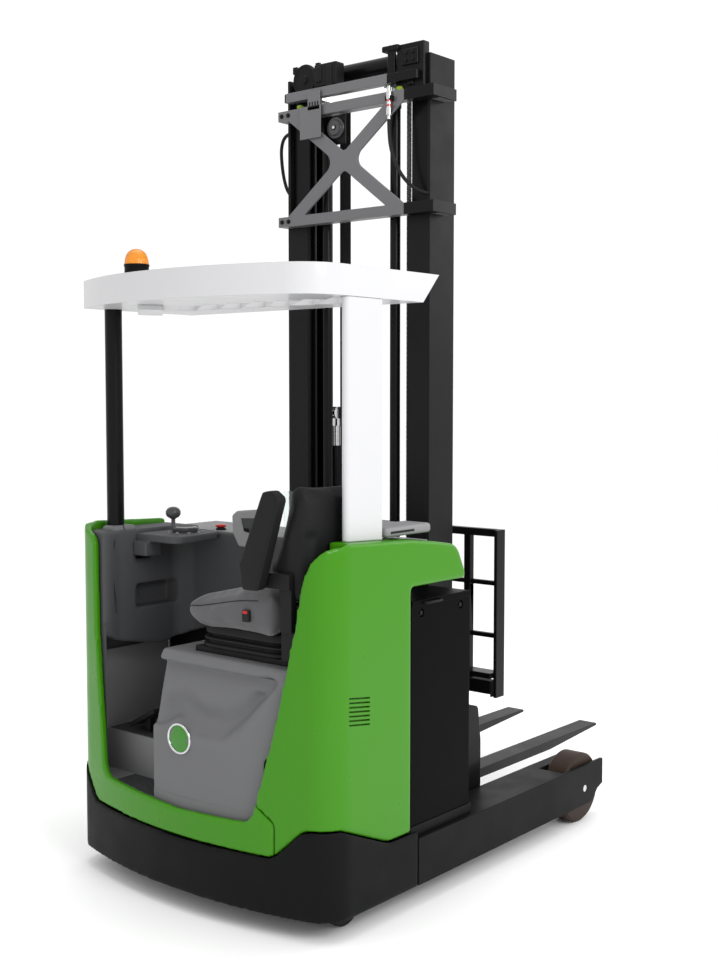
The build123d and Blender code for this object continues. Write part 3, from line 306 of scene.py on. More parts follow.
FINISHES = (
    Finish("chassis_black", (0.0045, 0.0045, 0.005), 0.45, grain=600, depth=0.00003, specular=0.08),
    Finish("bumper_black", (0.004, 0.004, 0.0043), 0.5, grain=1400, depth=0.00004, specular=0.09),
    Finish("body_green", (0.040, 0.205, 0.0025), 0.32, coat=0.16, grain=260, depth=0.000005, drift=0.015),
    Finish("roof_white", (0.56, 0.56, 0.57), 0.38, coat=0.2, grain=300, depth=0.00001, drift=0.008,
           edge=Edge.SOFT),
    Finish("post_black", (0.004, 0.004, 0.0045), 0.32, coat=0.06, specular=0.1),
    Finish("cab_grey", (0.060, 0.061, 0.064), 0.6, grain=1500, depth=0.00005, drift=0.03),
    Finish("light_grey", (0.22, 0.22, 0.225), 0.55, grain=1500, depth=0.00005),
    Finish("floor_mat", (0.19, 0.19, 0.195), 0.7, grain=800, depth=0.0001),
    Finish("rubber_black", (0.013, 0.013, 0.013), 0.6, grain=700, depth=0.00006),
    Finish("seat_black", (0.0075, 0.0075, 0.008), 0.55, grain=1300, depth=0.00006),
    Finish("seat_fabric", (0.082, 0.082, 0.086), 0.88, depth=0.0004, weave=520.0),
    Finish("battery_black", (0.0015, 0.0015, 0.0017), 0.36, grain=400, depth=0.00002, specular=0.03),
    Finish("wheel_brown", (0.030, 0.018, 0.013), 0.5, grain=500, depth=0.00005),
    Finish("bright_steel", (0.62, 0.62, 0.63), 0.18, metallic=1.0, specular=0.5, grain=700, depth=0.000008),
    Finish("mast_black", (0.004, 0.004, 0.0045), 0.32, coat=0.06, grain=400, depth=0.00002, specular=0.1),
    Finish("mast_grey", (0.007, 0.007, 0.0075), 0.42, grain=500, depth=0.00003, drift=0.06, specular=0.12),
    Finish("tie_silver", (0.15, 0.15, 0.155), 0.4, metallic=0.4, grain=700, depth=0.00002),
    Finish("chain_steel", (0.30, 0.30, 0.30), 0.38, metallic=0.8, grain=500, depth=0.00003),
    Finish("fork_grey", (0.016, 0.016, 0.0175), 0.45, grain=400, depth=0.00004, drift=0.08),
    Glass("amber_lens", (1.0, 0.36, 0.02), 0.14, 0.55),
    Glass("clear_screen", (0.86, 0.93, 0.92), 0.03, 1.0),
    Finish("signal_red", (0.42, 0.012, 0.010), 0.35, coat=0.3, grain=500, depth=0.00001),
    Finish("badge_green", (0.030, 0.19, 0.010), 0.3, coat=0.5, grain=500, depth=0.00001),
    Finish("screen_dark", (0.004, 0.005, 0.006), 0.12, coat=0.6, grain=300, depth=0.000003),
    Finish("knob_grey", (0.055, 0.055, 0.058), 0.35, coat=0.3, grain=500, depth=0.00001),
    Finish("console_grey", (0.135, 0.136, 0.14), 0.55, grain=1500, depth=0.00004, drift=0.03),
    Finish("buffer_lime", (0.24, 0.36, 0.03), 0.5, grain=500, depth=0.00002),
)


class Paintshop:
    """Holds each finish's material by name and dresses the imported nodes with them."""

    def __init__(self) -> None:
        """Builds every material once."""
        self.made = {finish.name: finish.build() for finish in FINISHES}

    def dress(self, piece: bpy.types.Object, name: str) -> None:
        """Gives a piece one material.

        Args:
            piece: The object to paint.
            name: The finish's name.
        """
        piece.data.materials.clear()
        piece.data.materials.append(self.made[name])

    def dress_nodes(self, frame: dict) -> None:
        """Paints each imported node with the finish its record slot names."""
        for part in frame["record"]["subparts"]:
            self.dress(frame["nodes"][part["node"]], part["material_slot"])


def bands(rows: int, columns: int) -> Faces:
    """The quads between the rings of a stack.

    Args:
        rows: Number of rings.
        columns: Points on each ring.

    Returns:
        Faces that join each ring to the next.
    """
    return [(r * columns + k, r * columns + (k + 1) % columns,
             (r + 1) * columns + (k + 1) % columns, (r + 1) * columns + k)
            for r in range(rows - 1) for k in range(columns)]


def capped(rows: int, columns: int) -> Faces:
    """The quads between the rings of a stack, and a face over each end.

    Args:
        rows: Number of rings.
        columns: Points on each ring.

    Returns:
        The faces of a closed body.
    """
    ends = [tuple(range(columns))[::-1], tuple(range((rows - 1) * columns, rows * columns))]
    return bands(rows, columns) + ends


def points_of(mesh: bpy.types.Mesh) -> np.ndarray:
    """A mesh's points.

    Args:
        mesh: The mesh to read.

    Returns:
        An array of N by 3, in metres.
    """
    flat = np.empty(len(mesh.vertices) * 3)
    mesh.vertices.foreach_get("co", flat)
    return flat.reshape(-1, 3)


def set_points(mesh: bpy.types.Mesh, points: np.ndarray) -> None:
    """Moves a mesh's points to the places in an array of N by 3, in metres."""
    mesh.vertices.foreach_set("co", points.ravel())


def placed(name: str, data: bpy.types.ID) -> bpy.types.Object:
    """Links new data to the scene.

    Args:
        name: The object's name.
        data: Its mesh, curve, light or camera.

    Returns:
        The new object.
    """
    item = bpy.data.objects.new(name, data)
    bpy.context.scene.collection.objects.link(item)
    return item


def bake(piece: bpy.types.Object) -> None:
    """Puts the modifiers' result into the mesh and removes them.

    Args:
        piece: The object to bake.
    """
    graph = bpy.context.evaluated_depsgraph_get()
    graph.update()
    mesh = bpy.data.meshes.new_from_object(piece.evaluated_get(graph))
    piece.modifiers.clear()
    piece.data = mesh


def roll(piece: bpy.types.Object, name: str, rounds: int) -> bpy.types.Modifier:
    """Adds a modifier that moves each point halfway to its neighbours' middle, many times over.

    Args:
        piece: The object to smooth.
        name: The modifier's name.
        rounds: Number of passes.

    Returns:
        The modifier.
    """
    step = piece.modifiers.new(name, "SMOOTH")
    step.factor = ROLL
    step.iterations = rounds
    return step


def remeshed(piece: bpy.types.Object, voxel: float) -> bpy.types.Modifier:
    """Welds a piece and rebuilds it on an even grid.

    Args:
        piece: The object.
        voxel: Size of the grid in metres.

    Returns:
        The welding modifier, which stands first.
    """
    weld = piece.modifiers.new("weld", "WELD")
    weld.merge_threshold = SAME_POINT
    remesh = piece.modifiers.new("remesh", "REMESH")
    remesh.mode = "VOXEL"
    remesh.voxel_size = voxel
    return weld


def tube(path: np.ndarray, section: np.ndarray) -> Form:
    """A closed section carried along a path, its frame turned as little as the path allows.

    Args:
        path: Points of the path, N by 3.
        section: Offsets across the path, M by 2.

    Returns:
        Points and faces of the swept body with both ends capped.
    """
    path = np.asarray(path, float)
    section = np.asarray(section, float)
    tangents = np.gradient(path, axis=0)
    tangents /= np.linalg.norm(tangents, axis=1)[:, None]
    up = np.array([0.0, 0.0, 1.0]) if abs(tangents[0][2]) < 0.9 else np.array([1.0, 0.0, 0.0])
    rings = []
    for spot, way in zip(path, tangents):
        side = np.cross(up, way)
        side /= np.linalg.norm(side)
        up = np.cross(way, side)
        rings.append(spot + section[:, :1] * side + section[:, 1:] * up)
    return np.concatenate(rings), capped(len(path), len(section))


def circle(radius: float, sides: int) -> np.ndarray:
    """Points round a circle, as offsets for tube()."""
    turn = np.linspace(0, 2 * math.pi, sides, endpoint=False)
    return radius * np.stack([np.cos(turn), np.sin(turn)], 1)


def oblong(width: float, height: float, corner: float, steps: int) -> np.ndarray:
    """A rectangle with rounded corners round the origin, as four quarter turns.

    Args:
        width: Its size along X.
        height: Its size along Y.
        corner: Radius of the corners.
        steps: Steps on each corner.

    Returns:
        Points of X and Y.
    """
    points = []
    for quarter, (sx, sy) in enumerate(((1, 1), (-1, 1), (-1, -1), (1, -1))):
        turn = np.linspace(0, math.pi / 2, steps + 1) + quarter * math.pi / 2
        points.append(np.stack([sx * (width / 2 - corner) + corner * np.cos(turn),
                                sy * (height / 2 - corner) + corner * np.sin(turn)], 1))
    return np.concatenate(points)


def turned(profile: Sequence[Sequence[float]], centre: Sequence[float], axis: Axis = Axis.Z,
           sides: int = 40) -> Form:
    """A profile of radius and height turned about an axis, its ends capped.

    Args:
        profile: Pairs of radius and height.
        centre: Where height 0 lies on the axis.
        axis: The axis it is turned about.
        sides: Steps round the axis.

    Returns:
        Points and faces.
    """
    turn = np.linspace(0, 2 * math.pi, sides, endpoint=False)
    points = np.zeros((len(profile), sides, 3))
    one, two, along = axis.value
    for row, (radius, height) in enumerate(profile):
        points[row, :, one] = max(radius, 0.05) * np.cos(turn)
        points[row, :, two] = max(radius, 0.05) * np.sin(turn)
        points[row, :, along] = height
    return points.reshape(-1, 3) + np.asarray(centre, float), capped(len(profile), sides)


def copies(points: np.ndarray, faces: Faces, places: np.ndarray) -> Form:
    """One form set at many places.

    Args:
        points: The form's points.
        faces: The form's faces.
        places: Where its origin lies in each copy, N by 3.

    Returns:
        All copies as one form.
    """
    places = np.asarray(places, float)
    count = len(points)
    many = (places[:, None, :] + points[None, :, :]).reshape(-1, 3)
    return many, [tuple(i + n * count for i in face) for n in range(len(places)) for face in faces]


def merged(forms: Sequence[Form]) -> Form:
    """Several forms as one.

    Args:
        forms: Pairs of points and faces.

    Returns:
        All points, and the faces renumbered to them.
    """
    points, faces, start = [], [], 0
    for some, rings in forms:
        points.append(np.asarray(some, float))
        faces += [tuple(i + start for i in face) for face in rings]
        start += len(some)
    return np.concatenate(points), faces


def block(low: Sequence[float], high: Sequence[float]) -> Form:
    """A plain block, for pieces whose edges are bevelled afterwards.

    Args:
        low: Its lowest corner.
        high: Its highest corner.

    Returns:
        Eight points and six faces.
    """
    corners = np.array([[(low, high)[k][0], (low, high)[j][1], (low, high)[i][2]]
                        for i in (0, 1) for j, k in ((0, 0), (0, 1), (1, 1), (1, 0))], float)
    return corners, [(3, 2, 1, 0), (4, 5, 6, 7), (0, 1, 5, 4), (1, 2, 6, 5), (2, 3, 7, 6), (3, 0, 4, 7)]


def bolt(radius: float, height: float, axis: Axis, sign: int = 1) -> Form:
    """A chamfered hexagon head on a washer, standing at the origin.

    Args:
        radius: From the axis to the hexagon's corners.
        height: From the washer's foot to the head's top.
        axis: The axis it stands along.
        sign: -1 where it points down the axis.

    Returns:
        Points and faces.
    """
    washer = turned([(radius * 1.3, 0), (radius * 1.3, 1.6 * sign)], (0, 0, 0), axis, 20)
    head = turned([(radius, 1.6 * sign), (radius, (height - 1) * sign), (radius * 0.86, height * sign)],
                  (0, 0, 0), axis, 6)
    return merged([washer, head])


def prism(outline: Sequence[Sequence[float]], start: float, end: float) -> Form:
    """A closed body with an outline of Y and Z, from one X to another.

    Args:
        outline: Pairs of Y and Z.
        start: X of one end.
        end: X of the other.

    Returns:
        Points and faces.
    """
    flat = np.array(outline, float)
    points = np.concatenate([np.insert(flat, 0, x, axis=1) for x in (start, end)])
    return points, capped(2, len(flat))


def cutter(form: Form) -> bpy.types.Object:
    """A body that is only made for cutting.

    Args:
        form: Its points and faces.

    Returns:
        The new object, hidden from renders.
    """
    mesh = bpy.data.meshes.new("cutter")
    mesh.from_pydata(metres(form[0]).tolist(), [], [list(face) for face in form[1]])
    shape = bmesh.new()
    shape.from_mesh(mesh)
    bmesh.ops.recalc_face_normals(shape, faces=shape.faces)
    shape.to_mesh(mesh)
    shape.free()
    tool = placed("cutter", mesh)
    tool.hide_render = True
    return tool


def cut(piece: bpy.types.Object, tool: bpy.types.Object) -> bpy.types.Modifier:
    """Adds the modifier that takes a cutter's body away from a piece.

    Args:
        piece: The piece to cut.
        tool: The cutter.

    Returns:
        The modifier.
    """
    step = piece.modifiers.new("cut", "BOOLEAN")
    step.operation = "DIFFERENCE"
    step.solver = "EXACT"
    step.object = tool
    return step


class Bench:
    """Makes finished pieces: mesh, modifiers, material and body in one call."""

    def __init__(self, frame: dict, paint: Paintshop) -> None:
        """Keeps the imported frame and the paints.

        Args:
            paint: The finishes' materials.
        """
        self.frame = frame
        self.paint = paint
        self.homes = {node: body for body, nodes in frame["record"]["behaviour"]["bodies"].items()
                      for node in nodes}
        self.slots = {part["node"]: part["material_slot"] for part in frame["record"]["subparts"]}

    def own(self, piece: bpy.types.Object, finish: str, body: str) -> bpy.types.Object:
        """Paints a piece, lets it ride on a body and reports it.

        Args:
            piece: The piece.
            finish: The finish's name.
            body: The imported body's name.

        Returns:
            The same piece.
        """
        self.paint.dress(piece, finish)
        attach(piece, body)
        LOG.info("%s in %s on %s", piece.name, finish, body)
        return piece

    def piece(self, name: str, form: Form, finish: str, body: str,
              bevel: float = 0.0, smooth: float = 40.0) -> bpy.types.Object:
        """Turns points and faces into a piece with outward faces.

        Args:
            name: The piece's name.
            form: Points in millimetres from the axle and faces.
            finish: The finish's name.
            body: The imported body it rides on.
            bevel: Width of rounded corners in millimetres, or 0.
            smooth: Corners under this many degrees are shaded round.

        Returns:
            The new object.
        """
        mesh = bpy.data.meshes.new(name)
        mesh.from_pydata(metres(form[0]).tolist(), [], [list(map(int, face)) for face in form[1]])
        shape = bmesh.new()
        shape.from_mesh(mesh)
        bmesh.ops.remove_doubles(shape, verts=shape.verts, dist=0.000005)
        bmesh.ops.recalc_face_normals(shape, faces=shape.faces)
        shape.to_mesh(mesh)
        shape.free()
        piece = placed(name, mesh)
        mesh.shade_smooth()
        if bevel:
            self.round_off(piece, bevel, 3)
        else:
            mesh.set_sharp_from_angle(angle=math.radians(smooth))
        return self.own(piece, finish, body)

    def box(self, node: str) -> tuple[np.ndarray, np.ndarray]:
        """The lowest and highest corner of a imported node, in millimetres from the axle."""
        points = points_of(self.frame["nodes"][node].data) * 1000.0 - (AXLE_X, 0, 0)
        return points.min(0), points.max(0)

    @staticmethod
    def round_off(piece: bpy.types.Object, width: float, segments: int, weighted: bool = False) -> None:
        """Adds the bevel that rounds a piece's corners.

        Args:
            piece: The piece.
            width: The bevel in millimetres.
            segments: Steps across it.
            weighted: Whether each edge's own weight sets the width, instead of its angle.
        """
        bevel = piece.modifiers.new("corners", "BEVEL")
        bevel.width = width / 1000.0
        bevel.segments = segments
        bevel.limit_method = "WEIGHT" if weighted else "ANGLE"
        bevel.angle_limit = math.radians(30)
        bevel.use_clamp_overlap = not weighted
        bevel.miter_outer = "MITER_ARC"
        even = piece.modifiers.new("flats", "WEIGHTED_NORMAL")
        even.weight = 100
        even.keep_sharp = True

    def softened(self, node: str, width: float, segments: int = 3) -> bpy.types.Object:
        """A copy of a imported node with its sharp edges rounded, which then stands for it.

        Faces that lie within 0.6 degrees of each other are joined first. Each edge sharper than
        28 degrees is bevelled by width, or by a quarter of what the narrower of its two faces
        measures across it, so that thin walls and slits keep their form.

        Args:
            node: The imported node.
            width: Bevel in millimetres where there is room.
            segments: Steps across the bevel.

        Returns:
            The new piece.
        """
        mesh = self.frame["nodes"][node].data.copy()
        shape = bmesh.new()
        shape.from_mesh(mesh)
        bmesh.ops.remove_doubles(shape, verts=shape.verts, dist=SAME_POINT)
        bmesh.ops.dissolve_limit(shape, angle_limit=math.radians(0.6), verts=shape.verts,
                                 edges=shape.edges, delimit={"NORMAL"})
        layer = shape.edges.layers.float.new("bevel_weight_edge")
        for edge in shape.edges:
            if len(edge.link_faces) != 2 or edge.calc_face_angle(0.0) < math.radians(28):
                continue
            start = edge.verts[0].co
            way = (edge.verts[1].co - start).normalized()
            room = min(max(((v.co - start) - way * way.dot(v.co - start)).length for v in face.verts)
                       for face in edge.link_faces)
            edge[layer] = min(1.0, 0.25 * room * 1000.0 / width)
        shape.to_mesh(mesh)
        shape.free()
        mesh.shade_smooth()
        piece = placed(node + "_soft", mesh)
        self.round_off(piece, width, segments, True)
        self.own(piece, self.slots[node], self.homes[node])
        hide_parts(node)
        return piece


SOFTENED = (
    ("pillar_right", 5.0, 3), ("arm_console", 7.0, 4), ("display_pod", 6.0, 3), ("leg_left", 3.0, 3),
    ("leg_right", 3.0, 3), ("forks", 3.0, 3), ("load_guard", 2.5, 2), ("shift_frame", 2.5, 2),
    ("tilt_frame", 2.5, 2), ("lift_carriage", 2.5, 2), ("mast_ties", 3.0, 3), ("battery", 4.0, 3),
    ("mast_outer", 2.5, 2), ("mast_middle", 2.0, 2), ("mast_inner", 2.0, 2), ("reach_carriage", 2.5, 2),
    ("pedals", 3.0, 3), ("floor_steps", 2.0, 2), ("roof_lamp", 3.0, 3), ("top_deck", 3.0, 3),
    ("chassis_frame", 1.5, 2), ("castor_fork", 1.5, 2), ("drive_unit", 2.0, 2),
)
MOULDED = (
    ("bumper_skirt", 6.0, 8), ("panel_left", 6.0, 10), ("panel_right", 6.5, 12), ("dash_moulding", 6.0, 9),
    ("seat_console", 5.0, 16), ("armrest", 4.0, 14),
)


@dataclass
class Mouldings:
    """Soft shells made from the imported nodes, their corners rolled, in millimetres.

    Attributes:
        bench: Makes the pieces.
        vent_zone: Lowest and highest corner of the box round the vent slits.
        vent_wall: Y of the right panel's outer face, in metres.
        vents: Number of slits.
        vent_top: Height of the top one.
        vent_pitch: From one slit to the next.
        ledge: Outline of Y and Z that cuts the panel's ledge in front of the pillar.
        ledge_span: X at both ends of that cut.
        rim_across: Y of points on the rim of the console's swell.
        rim_height: Z of the same points.
        hollow: How far the console is pushed in above the rim.
        swell: How far it is pushed out below the rim.
        console_face: Lowest and highest corner of the box round its face.
        console_rounds: Passes of smoothing over that face.
        armrest_lean: How far the armrest's upper front moves back, in metres.
        armrest_drop: How far it moves down, in metres.
    """

    bench: Bench
    quick_share: float = 1.5
    vent_zone: Table = ((-1516, -640, 680), (-1400, -614.5, 800))
    vent_wall: float = -0.629
    vents: int = 7
    vent_top: float = 797.0
    vent_pitch: float = 14.5
    ledge: Table = ((-380, 1000), (-495, 1000), (-515, 1143), (-530, 1190), (-549, 1231), (-572, 1259),
                    (-592, 1275), (-614, 1287), (-614, 1345), (-380, 1345))
    ledge_span: tuple[float, float] = (-1720, -1490)
    rim_across: Row = (-397, -354, -273, -184, -76, 29, 150)
    rim_height: Row = (818, 764, 669, 613, 613, 650, 616)
    hollow: float = 26.0
    swell: float = 6.0
    console_face: Table = ((-1720, -425, 430), (-1560, 125, 832))
    console_rounds: int = 42
    armrest_lean: float = 0.024
    armrest_drop: float = 0.012

    def make(self, node: str, voxel: float, rounds: int) -> bpy.types.Object:
        """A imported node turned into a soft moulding, which then stands for it.

        The right panel's vent slits are finer than the grid, so they are closed first and cut
        again into the finished moulding.

        Args:
            node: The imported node.
            voxel: Size of the remeshed grid in millimetres.
            rounds: Passes of smoothing.

        Returns:
            The new piece.
        """
        bench = self.bench
        mesh = bench.frame["nodes"][node].data.copy()
        if node == "armrest":
            self.lean_armrest(mesh)
        if node == "panel_right":
            self.close_vents(mesh)
        piece = placed(node + "_moulded", mesh)
        weld = remeshed(piece, voxel / 1000.0 * (1.0))
        roll(piece, "roll", rounds)
        if node == "panel_right":
            tool = cutter(prism(self.ledge, *self.ledge_span))
            step = cut(piece, tool)
            piece.modifiers.move(piece.modifiers.find(step.name), piece.modifiers.find(weld.name) + 1)
            bake(piece)
            bpy.data.objects.remove(tool)
            self.cut_vents(piece)
        else:
            bake(piece)
        if node == "seat_console":
            self.scoop(piece)
            self.relax(piece)
        piece.data.shade_smooth()
        if node == "panel_right":
            piece.data.set_sharp_from_angle(angle=math.radians(50))
        bench.own(piece, "console_grey" if node == "seat_console" else bench.slots[node], bench.homes[node])
        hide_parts(node)
        return piece

    def lean_armrest(self, mesh: bpy.types.Mesh) -> None:
        """Moves the armrest's upper front back and down, in step with the way up and forward.

        Args:
            mesh: The copy of the node's mesh.
        """
        points = points_of(mesh)
        front = np.clip((points[:, 1] + 0.345) / 0.06, 0, 1) * np.clip((points[:, 2] - 1.17) / 0.04, 0, 1)
        points[:, 1] -= self.armrest_lean * front
        points[:, 2] -= self.armrest_drop * front
        set_points(mesh, points)

    def close_vents(self, mesh: bpy.types.Mesh) -> None:
        """Takes out the faces inside the vent slits and closes what they leave open.

        Args:
            mesh: The copy of the right panel's mesh.
        """
        low, high = metres(np.array(self.vent_zone))
        shape = bmesh.new()
        shape.from_mesh(mesh)
        bmesh.ops.remove_doubles(shape, verts=shape.verts, dist=SAME_POINT)
        inside = [f for f in shape.faces
                  if all(low[k] < f.calc_center_median()[k] < high[k] for k in range(3))
                  and abs(f.calc_center_median().y - self.vent_wall) > 0.0004]
        bmesh.ops.delete(shape, geom=inside, context="FACES")
        bmesh.ops.holes_fill(shape, edges=[e for e in shape.edges if e.is_boundary], sides=0)
        shape.to_mesh(mesh)
        shape.free()

    def cut_vents(self, piece: bpy.types.Object) -> None:
        """Cuts the thin sloping slits into the right panel.

        Args:
            piece: The finished moulding.
        """
        slits = []
        for number in range(self.vents):
            top = self.vent_top - self.vent_pitch * number
            corners = ((-1511, 0, 6), (-1511, 0, 0), (-1406, 15, 0), (-1406, 15, 6))
            points = np.array([(x, y, top - fall - drop) for y in (-640, -616) for x, fall, drop in corners])
            slits.append((points, [(0, 1, 2, 3), (7, 6, 5, 4), (0, 4, 5, 1), (1, 5, 6, 2), (2, 6, 7, 3),
                                   (3, 7, 4, 0)]))
        tool = cutter(merged(slits))
        cut(piece, tool)
        bake(piece)
        bpy.data.objects.remove(tool)

    def scoop(self, piece: bpy.types.Object) -> None:
        """Deepens the hollow over the console's swell and fills the swell under its rim.

        The rim is the line where the swell turns into the hollow, as Z over Y. The push is a bell
        curve above the rim less a smaller one below it, and fades out at the sides and the top.

        Args:
            piece: The console's moulding.
        """
        points = points_of(piece.data)
        across, height = points[:, 1] * 1000.0, points[:, 2] * 1000.0
        above = height - np.interp(across, self.rim_across, self.rim_height)
        push = self.hollow * np.exp(-((above - 48) / 44) ** 2)
        push -= self.swell * np.exp(-((above + 24) / 32) ** 2)
        push *= np.clip((across + 440) / 60, 0, 1) * np.clip((146 - across) / 40, 0, 1)
        push *= np.clip((862 - height) / 40, 0, 1) * (points[:, 0] * 1000.0 < -1604 + AXLE_X)
        points[:, 0] += push / 1000.0
        set_points(piece.data, points)

    def relax(self, piece: bpy.types.Object) -> None:
        """Smooths the console's face many times over, so that its swells run into each other.

        The weight rises from 0 at the sides of the face's box to 1 at 50 mm inside it.

        Args:
            piece: The console's moulding.
        """
        points = points_of(piece.data)
        near, far = metres(np.array(self.console_face))
        depth = np.minimum(points - near, far - points)[:, 1:].min(1)
        inside = ((points > near) & (points < far)).all(1)
        group = piece.vertex_groups.new(name="face")
        for number in np.nonzero(inside)[0]:
            group.add([int(number)], float(np.clip(depth[number] / 0.05, 0, 1)), "REPLACE")
        roll(piece, "swell", self.console_rounds).vertex_group = "face"
        bake(piece)

    def build(self) -> None:
        """Makes every moulding in the list."""
        for node, voxel, rounds in MOULDED:
            self.make(node, voxel, rounds)


def inner_line(inset: float, low: float, high: float, steps: int = 40) -> np.ndarray:
    """Points along the body's bowed rear, drawn in by an inset, between two Y values.

    The rear is an arc of radius 2000; the left corner is an arc that touches it and the side,
    and past the corner the line runs forward along the side.

    Args:
        inset: Distance inside the outer face.
        low: Y where the line starts.
        high: Y where it ends, or the X it reaches when that is below -700.
        steps: Points on the line.

    Returns:
        An array of X, Y and 0.
    """
    bow, corner = 2000.0, 120.0 - inset
    centre = REAR + inset + bow
    if high > -700:
        across = np.linspace(low, high, steps)
        return np.stack([centre - np.sqrt(bow ** 2 - across ** 2), across, 0 * across], 1)
    side = HALF - inset
    cy = side - corner
    cx = centre - math.sqrt((bow - corner) ** 2 - cy ** 2)
    touch = math.atan2(cy, cx - centre)
    across = np.linspace(low, bow * math.sin(touch), steps // 3)
    rear = np.stack([centre - np.sqrt(bow ** 2 - across ** 2), across, 0 * across], 1)
    turn = np.linspace(touch, math.pi / 2, steps // 3)
    arc = np.stack([cx + corner * np.cos(turn), cy + corner * np.sin(turn), 0 * turn], 1)
    run = np.linspace(cx, high, steps // 3)
    return np.concatenate([rear, arc[1:], np.stack([run, 0 * run + side, 0 * run], 1)[1:]])


def curtain(line: np.ndarray, low: float, high: float, thick: float) -> Form:
    """A thin upright wall along a line, thickened towards the cab's inside.

    Args:
        line: Points along its outer face.
        low: Z of its foot.
        high: Z of its top.
        thick: Its thickness.

    Returns:
        Points and faces.
    """
    way = np.gradient(line, axis=0)
    way /= np.linalg.norm(way, axis=1)[:, None]
    inward = np.stack([way[:, 1], -way[:, 0], 0 * way[:, 0]], 1)
    ring = [line + (0, 0, low), line + inward * thick + (0, 0, low),
            line + inward * thick + (0, 0, high), line + (0, 0, high)]
    return np.stack(ring, 1).reshape(-1, 3), capped(len(line), 4)


@dataclass
class Cloth:
    """Swells a packed pad into a cushion and sews its seams.

    Attributes:
        bench: Makes the pieces.
        shrink: Share of its size that the pad starts from.
        voxel: Grid of the remeshed pad, in metres.
        pressure: Pressure inside the cloth.
        steps: Frames of the swelling.
        cap: How far a point may move, in metres.
        rounds: Passes of smoothing afterwards.
        fill: Share of the piece that is padding; not used.
    """

    bench: Bench
    shrink: float = 0.955
    voxel: float = 0.006
    quick_voxel: float = 0.008
    pressure: float = 2.4
    steps: int = 20
    cap: float = 0.012
    rounds: int = 26
    fill: float = 0.85

    def pad(self, node: str, lean: Callable[[np.ndarray], np.ndarray]) -> bpy.types.Object:
        """A cushion grown from a packed pad by cloth pressure.

        Args:
            node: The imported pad.
            lean: Moves the starting points before the swelling.

        Returns:
            The cushion, which stands for the node.
        """
        mesh = self.bench.frame["nodes"][node].data.copy()
        points = lean(points_of(mesh))
        middle = (points.min(0) + points.max(0)) / 2
        points = middle + (points - middle) * self.shrink
        set_points(mesh, points)
        piece = placed(node + "_pad", mesh)
        remeshed(piece, self.voxel)
        bake(piece)
        self.swell(piece)
        roll(piece, "soften", self.rounds)
        finer = piece.modifiers.new("finer", "SUBSURF")
        finer.levels = 1
        finer.render_levels = 1
        bake(piece)
        piece.data.shade_smooth()
        self.bench.own(piece, self.bench.slots[node], self.bench.homes[node])
        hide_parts(node)
        return piece

    def swell(self, piece: bpy.types.Object) -> None:
        """Blows the pad up as cloth; no point ends farther than the cap from where it began.

        Args:
            piece: The remeshed pad.
        """
        start = points_of(piece.data)
        cloth = piece.modifiers.new("cloth", "CLOTH")
        cloth.settings.use_pressure = True
        cloth.settings.uniform_pressure_force = self.pressure
        cloth.settings.effector_weights.gravity = 0.0
        cloth.settings.quality = 4
        cloth.collision_settings.use_collision = False
        cloth.point_cache.frame_start = 1
        cloth.point_cache.frame_end = self.steps
        for number in range(1, self.steps + 1):
            bpy.context.scene.frame_set(number)
        bake(piece)
        bpy.context.scene.frame_set(1)
        moved = points_of(piece.data) - start
        reach = np.linalg.norm(moved, axis=1, keepdims=True)
        moved *= np.minimum(1.0, self.cap / np.maximum(reach, 1e-9))
        set_points(piece.data, start + moved)

    def seam(self, name: str, target: bpy.types.Object, line: np.ndarray, radius: float,
             finish: str) -> None:
        """A welt that follows the target's surface along a line.

        Args:
            name: The welt's name.
            target: The cushion it is sewn on.
            line: Points in millimetres near the surface.
            radius: The welt's radius in millimetres.
            finish: Its finish.
        """
        tree = BVHTree.FromPolygons([v.co for v in target.data.vertices],
                                    [tuple(p.vertices) for p in target.data.polygons])
        spots = []
        for a, b in zip(line[:-1], line[1:]):
            for share in np.linspace(0, 1, 8, endpoint=False):
                near = tree.find_nearest(Vector(metres(np.asarray(a) * (1 - share) + np.asarray(b) * share)))
                spots.append(np.array(near[0]) * 1000.0 - (AXLE_X, 0, 0))
        self.bench.piece(name, tube(np.array(spots), circle(radius, 8)), finish,
                         self.bench.homes["seat_cushion"])


